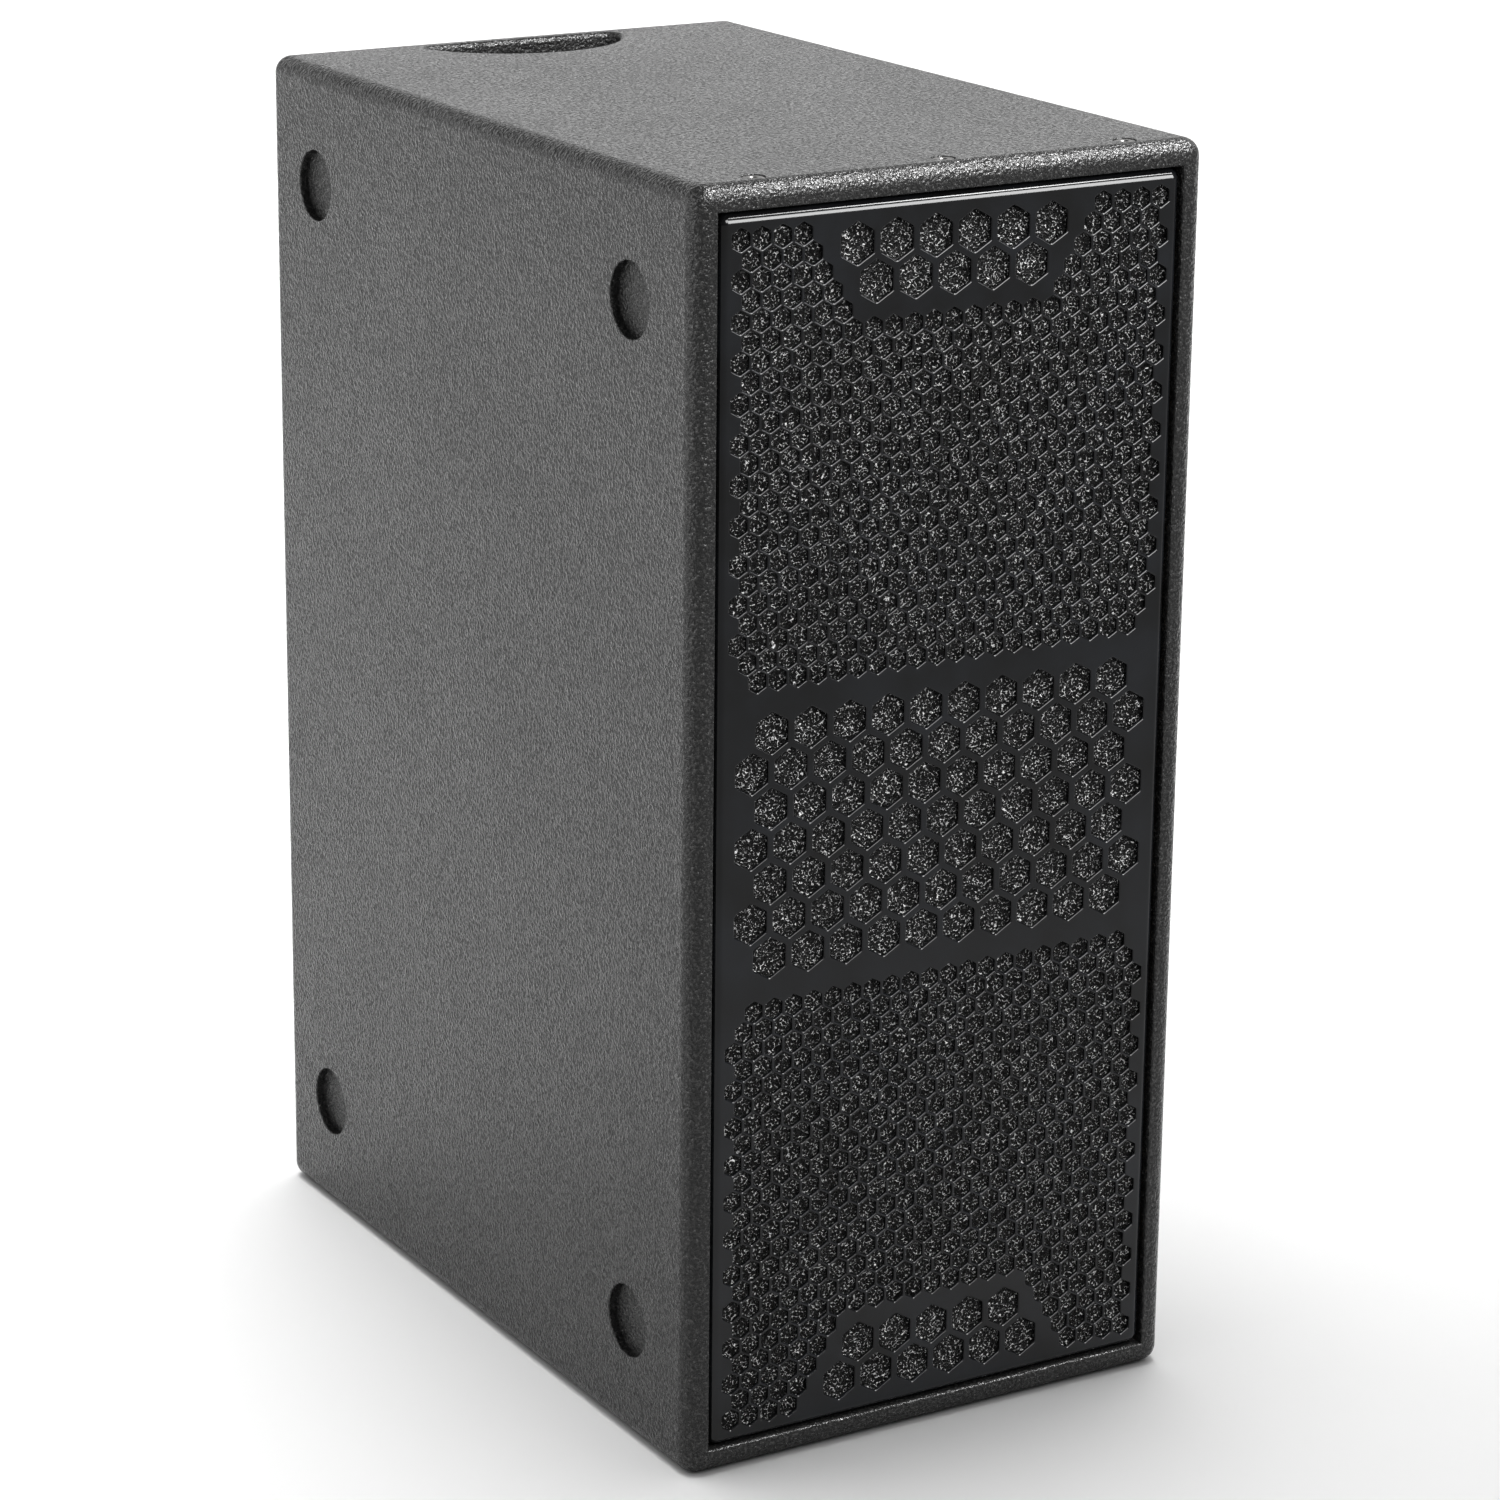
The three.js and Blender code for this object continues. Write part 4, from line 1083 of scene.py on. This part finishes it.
def input_plate():
    low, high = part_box("input_plate")
    made = rounded_prism("input_plate_steel", low, high, 3 * MM, POWDER_COAT, 0.3 * MM)
    for k in (1, 2):
        boolean(made, socket_bore(k))
    for k in range(1, 5):
        centre = at_depth(f"plate_screw_{k}", low.y)
        boolean(made, turned("hole", rod(PLATE_SCREW_BORE, -5 * MM, 5 * MM), PLASTIC, centre, segments=32))
    return stand_in(tighten(made), "input_plate")


def input_socket(k):
    """A round locking socket: a stepped flange, a mouth with two key ways, a hollow post and contacts."""
    centre = at_depth(f"input_socket_{k}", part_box(f"input_socket_{k}")[1].y)
    outline = [(0, -30), (14, -30), (14, -3), (17, -3), (17, -0.8), (16.2, 0), (13.2, 0), (12.8, -0.6)]
    outline += [(12.2, -0.6), (11.8, 0), (11, 0), (11, -17), (4, -17), (4, -11), (2.6, -11), (2.6, -13)]
    outline.append((0, -13))
    made = turned(f"input_socket_{k}_body", in_mm(outline), PLASTIC, centre, Y_AXIS, 0.35 * MM, 96)
    for turn in (KEY_WAY_TURN, KEY_WAY_TURN + math.pi):
        way = block("key_way", (-1.6 * MM, -14 * MM, 10 * MM), (1.6 * MM, 2 * MM, 12.2 * MM), PLASTIC)
        way.matrix_world = Matrix.Translation(centre) @ Matrix.Rotation(turn, 4, "Y")
        bpy.context.view_layer.update()
        boolean(made, way)
    stand_in(tighten(made), f"input_socket_{k}")
    for number in range(4):
        name = f"input_socket_{k}_contact_{number + 1}"
        low, high = (-0.9 * MM, -16.8 * MM, 4.05 * MM), (0.9 * MM, -11.2 * MM, 4.75 * MM)
        blade = rounded_box(name, low, high, 0.2 * MM, 2, ZINC)
        blade.data.transform(Matrix.Translation(centre) @ Matrix.Rotation(math.pi / 2 * number, 4, "Y"))
        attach(blade, "cabinet")


# ---------- inside: baffle, port, drivers, leads ----------


def baffle():
    low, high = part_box("baffle")
    made = block("baffle_board", low, high, PLYWOOD)
    upper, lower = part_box("port_shelf_upper")[0].z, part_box("port_shelf_lower")[1].z
    start, end = (-PORT_HALF_WIDTH, low.y - 1 * MM, lower), (PORT_HALF_WIDTH, high.y + 1 * MM, upper)
    boolean(made, block("port", start, end, PLYWOOD))
    for place in ("upper", "lower"):
        hub = driver_centre(place)
        boolean(made, turned("hole", rod(DRIVER_HOLE, -2 * MM, 17 * MM), PLYWOOD, hub, segments=128))
        for number in range(1, 5):
            at = at_depth(f"driver_bolt_{place}_{number}", hub.y)
            boolean(made, turned("bolt_hole", rod(SCREW_BORE, -2 * MM, 17 * MM), PLYWOOD, at, segments=24))
    stand_in(tighten(made), "baffle")
    for side in ("upper", "lower"):
        a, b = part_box(f"port_shelf_{side}")
        board = rounded_box(f"port_shelf_{side}_board", a, b, 0.4 * MM, 2, PLYWOOD)
        stand_in(board, f"port_shelf_{side}")


def driver_centre(place):
    """The point on a driver's axis at the baffle's front."""
    low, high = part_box(f"basket_{place}")
    return Vector((0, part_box("baffle")[0].y, (low.z + high.z) / 2))


def sheet_outline(line, thickness):
    """A thin turned sheet's closed outline: a line of (radius, position) pairs and its back."""
    return [*line, *((r, t + thickness) for r, t in reversed(line))]


def smooth_line(count, point):
    return [point(k / count) for k in range(count + 1)]


def basket(place, hub):
    outline = [(104, -4), (104, 0), (92, 0), (90, 10), (60, 44), (60, 56), (26, 56), (26, 53)]
    outline += [(50, 53), (50, 50), (57, 50), (57, 43.5), (86.5, 9.5), (86.5, -4)]
    made = turned(f"basket_{place}_frame", in_mm(outline), CAST, hub, Y_AXIS, 0.8 * MM, 96)
    low, high = (-24 * MM, 14 * MM, 40 * MM), (24 * MM, 38 * MM, 104 * MM)
    for number in range(4):
        window = rounded_box("window", low, high, 5 * MM, 3, CAST)
        turn = Matrix.Rotation(math.pi / 2 * (number + 0.5), 4, "Y")
        window.data.transform(Matrix.Translation(hub) @ turn)
        boolean(made, window)
    for number in range(1, 5):
        at = at_depth(f"driver_bolt_{place}_{number}", hub.y)
        bore = rod(SCREW_BORE, -6 * MM, 2 * MM)
        boolean(made, turned("hole", bore, CAST, at, segments=24, start=CUT_START))
    stand_in(tighten(made, 40), f"basket_{place}")


def terminal(place, hub):
    """The two-tag terminal block that a lead ends at."""
    towards = -1 if place == "upper" else 1
    middle = hub + Vector((0, 0, towards * TERMINAL_OFFSET * MM))
    body = rounded_box(f"terminal_{place}_block", middle + Vector((-10, 24, -5)) * MM,
                       middle + Vector((10, 34, 5)) * MM, 0.8 * MM, 3, PLASTIC)
    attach(body, "cabinet")
    for side in (-1, 1):
        at = middle + Vector((side * 6 * MM, 0, 0))
        low, high = at + Vector((-1.4, 34.0, -0.4)) * MM, at + Vector((1.4, 39, 0.4)) * MM
        tag = rounded_box(f"terminal_{place}_tag_{'a' if side < 0 else 'b'}", low, high, 0.15 * MM, 1, ZINC)
        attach(tag, "cabinet")


def moving_parts(place, hub):
    body = f"{place}_cone"
    cone_line = smooth_line(24, lambda s: (
        (NECK + CONE_REACH * s) * MM, (CONE_BACK - CONE_DEPTH * s - CONE_BULGE * math.sin(math.pi * s)) * MM))
    cone = turned(f"cone_{place}_paper", sheet_outline(cone_line, 1.2 * MM), PAPER, hub, segments=128)
    stand_in(cone, f"cone_{place}", body)
    ball = (CAP_RADIUS**2 + CAP_RISE**2) / (2 * CAP_RISE)
    cap_line = smooth_line(12, lambda s: (
        CAP_RADIUS * s * MM, (CAP_FRONT + ball - math.sqrt(ball**2 - (CAP_RADIUS * s) ** 2)) * MM))
    cap = turned(f"dust_cap_{place}_dome", sheet_outline(cap_line, 0.8 * MM), PAPER, hub, segments=96)
    stand_in(cap, f"dust_cap_{place}", body)
    outline = [(18.6, 30), (19, 30), (19, 53), (19.8, 53), (19.8, 65), (19, 65), (19, 66), (18.6, 66)]
    coil = turned(f"voice_coil_{place}_winding", in_mm(outline), COIL, hub, segments=96)
    stand_in(coil, f"voice_coil_{place}", body)


def soft_parts(place, hub):
    """The surround, and the spider with waves that fade at both ends, both spanning from the basket to the
    cone.
    """
    turns = [math.pi * k / 16 for k in range(17)]
    outer, inner = ([(ROLL_RADIUS + r * math.cos(t), ROLL_DEPTH - r * math.sin(t)) for t in turns]
                    for r in (ROLL_OUTER, ROLL_INNER))
    outline = [(88, -4), (93.5, -4), (93.5, ROLL_DEPTH), *outer, (73.2, 6), (74, 6), *inner[::-1]]
    edge = turned(f"surround_{place}_roll", in_mm(outline), SURROUND_RUBBER, hub, segments=128)
    stand_in(edge, f"surround_{place}", None)
    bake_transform(edge)
    line = in_mm(smooth_line(40, lambda s: (
        NECK + SPIDER_REACH * s,
        SPIDER_FRONT + SPIDER_DEPTH * s + math.sin(8 * math.pi * s) * min(1, 6 * s, 6 - 6 * s))))
    line.append((56.5 * MM, 48.5 * MM))
    cloth = turned(f"spider_{place}_cloth", sheet_outline(line, 0.8 * MM), CLOTH, hub, segments=128)
    stand_in(cloth, f"spider_{place}", None)
    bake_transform(cloth)


def motor(place, hub):
    rings = {
        "top_plate": ([(20.6, 56), (50, 56), (50, 62), (20.6, 62)], ZINC, "zinc_steel"),
        "magnet": ([(27, 62), (60, 62), (60, 80), (27, 80)], FERRITE, "ferrite"),
        "back_plate": ([(6, 56), (17.8, 56), (17.8, 80), (50, 80), (50, 87), (6, 87)], ZINC, "zinc_steel"),
    }
    for part, (outline, material, slot) in rings.items():
        made = turned(f"{part}_{place}_ring", in_mm(outline), material, hub, Y_AXIS, 0.8 * MM, 96)
        stand_in(made, f"{part}_{place}")


def drivers():
    for place in ("upper", "lower"):
        hub = driver_centre(place)
        basket(place, hub)
        terminal(place, hub)
        moving_parts(place, hub)
        soft_parts(place, hub)
        motor(place, hub)
        for number in range(1, 5):
            node = f"driver_bolt_{place}_{number}"
            cap_screw(node, DRIVER_BOLT, SCREW, at_depth(node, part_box(node)[1].y), -Y_AXIS)


def leads():
    """The leads from the sockets' backs to the terminals, by way of points in mm."""
    start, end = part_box("input_socket_1")[0].y / MM - 0.8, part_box("baffle")[0].y / MM + 34.8
    z_up = driver_centre("upper").z / MM - TERMINAL_OFFSET
    z_down = driver_centre("lower").z / MM + TERMINAL_OFFSET
    upper = [(-24, start, 200), (-24, 181, 200), (-25, 173, 222), (-27, 176, 262), (-28, 180, 315),
             (-27, 176, 372), (-22, 160, 412), (-14, 120, 428), (-8, 40, 431), (-3, -60, 427),
             (0, -120, z_up), (0, end, z_up)]
    lower = [(24, start, 200), (24, 175, 200), (21, 120, 192), (13, 40, 188), (6, -50, 197),
             (0, -120, z_down), (0, end, z_down)]
    for name, route in (("upper", upper), ("lower", lower)):
        made = tube(f"lead_{name}_jacket", [Vector(p) * MM for p in route], LEAD_RADIUS, JACKET)
        stand_in(made, f"lead_{name}")


# ---------- studio ----------


def camera():
    """The photographed view: from the front left, a little above."""
    made = bpy.data.objects.new("camera", bpy.data.cameras.new("camera"))
    scene.collection.objects.link(made)
    azimuth, elevation, roll = (math.radians(a) for a in CAMERA_ANGLES)
    ahead = Vector((math.sin(azimuth) * math.cos(elevation), math.cos(azimuth) * math.cos(elevation),
                    -math.sin(elevation)))
    right = Vector((math.cos(azimuth), -math.sin(azimuth), 0))
    up = right.cross(ahead)
    turned_right = right * math.cos(roll) + up * math.sin(roll)
    turned_up = up * math.cos(roll) - right * math.sin(roll)
    made.matrix_world = Matrix((turned_right, turned_up, -ahead)).transposed().to_4x4()
    made.location = OBJECT_MIDDLE + CAMERA_PLACE
    made.data.sensor_width, made.data.lens = SENSOR, LENS
    made.data.shift_x, made.data.shift_y = SHIFT_X, SHIFT_Y
    made.data.clip_start, made.data.clip_end = 0.05, 60
    scene.camera = made


def soft_light(name, place, towards, size, radiance, lit, spread=180):
    """A rectangular softbox, turned away from that direction and shining on one collection alone."""
    data = bpy.data.lights.new(name, "AREA")
    data.shape = "RECTANGLE"
    data.size, data.size_y = size
    data.spread = math.radians(spread)
    data.energy = radiance * math.pi * size[0] * size[1]
    made = bpy.data.objects.new(name, data)
    scene.collection.objects.link(made)
    made.location = place
    made.rotation_euler = towards.to_track_quat("Z", "Y").to_euler()
    made.visible_camera = False
    made.light_linking.receiver_collection = lit


def softbox(name, towards, distance, size, radiance, lit=pieces):
    """A softbox in that direction from the object."""
    direction = Vector(towards).normalized()
    soft_light(name, BOX_CENTRE + direction * distance, direction, size, radiance, lit)


def surroundings():
    """The studio round the object: a bright wall behind it up to a third of the way, dim elsewhere."""
    world = bpy.data.worlds.new("studio")
    scene.world = world
    world.use_nodes = True
    sky = Nodes(world.node_tree)
    axes = sky.node("ShaderNodeSeparateXYZ", {0: sky.node("ShaderNodeTexCoord").outputs["Generated"]}).outputs
    behind = sky.range(axes["Y"], -0.1, 0.6, interpolation_type="SMOOTHSTEP")
    below = sky.range(axes["Z"], 0.6, 0.3, interpolation_type="SMOOTHSTEP")
    level = sky.range(sky.math("MULTIPLY", behind, below), 0, 1, DIM_STUDIO, BRIGHT_WALL)
    background = sky.tree.nodes["Background"]
    sky.feed(background.inputs["Strength"], level)
    sky.feed(background.inputs["Color"], (1, 1, 1, 1))


def floor():
    corners = [(x * FLOOR_HALF, y * FLOOR_HALF, 0) for x, y in ((-1, -1), (1, -1), (1, 1), (-1, 1))]
    mesh = bpy.data.meshes.new("floor")
    mesh.from_pydata(corners, [], [(0, 1, 2, 3)])
    add_object("studio_floor", mesh, studio_floor(), ground)


def studio():
    scene.view_settings.view_transform = "Standard"
    scene.view_settings.look = "None"
    camera()
    surroundings()
    floor()
    softbox("overhead_box", (0.476, -0.3, 0.83), BOX_DISTANCE, (0.9, 0.8), 56)
    softbox("front_box", (0.05, -0.83, 0.55), BOX_DISTANCE, (0.8, 0.9), 17)
    softbox("left_box", (-0.93, -0.1, 0.35), BOX_DISTANCE, (1.8, 1.4), 4)
    softbox("grille_box", (0.48, -0.86, 0.36), 2.5, (1.2, 1.15), 24, sheet_metal)
    soft_light("floor_wash", Vector((0, 0, 4.5)), Z_AXIS, (14, 14), FLOOR_WASH, ground)
    soft_light("floor_pool", Vector((0, 4.15, 3.6)), Z_AXIS, (10, 9), FLOOR_POOL, ground, 50)


studio()
cabinet_panels()
grille()
grille_foam()
grille_screws()
feet()
input_plate()
input_socket(1)
input_socket(2)
plate_screws()
baffle()
drivers()
leads()
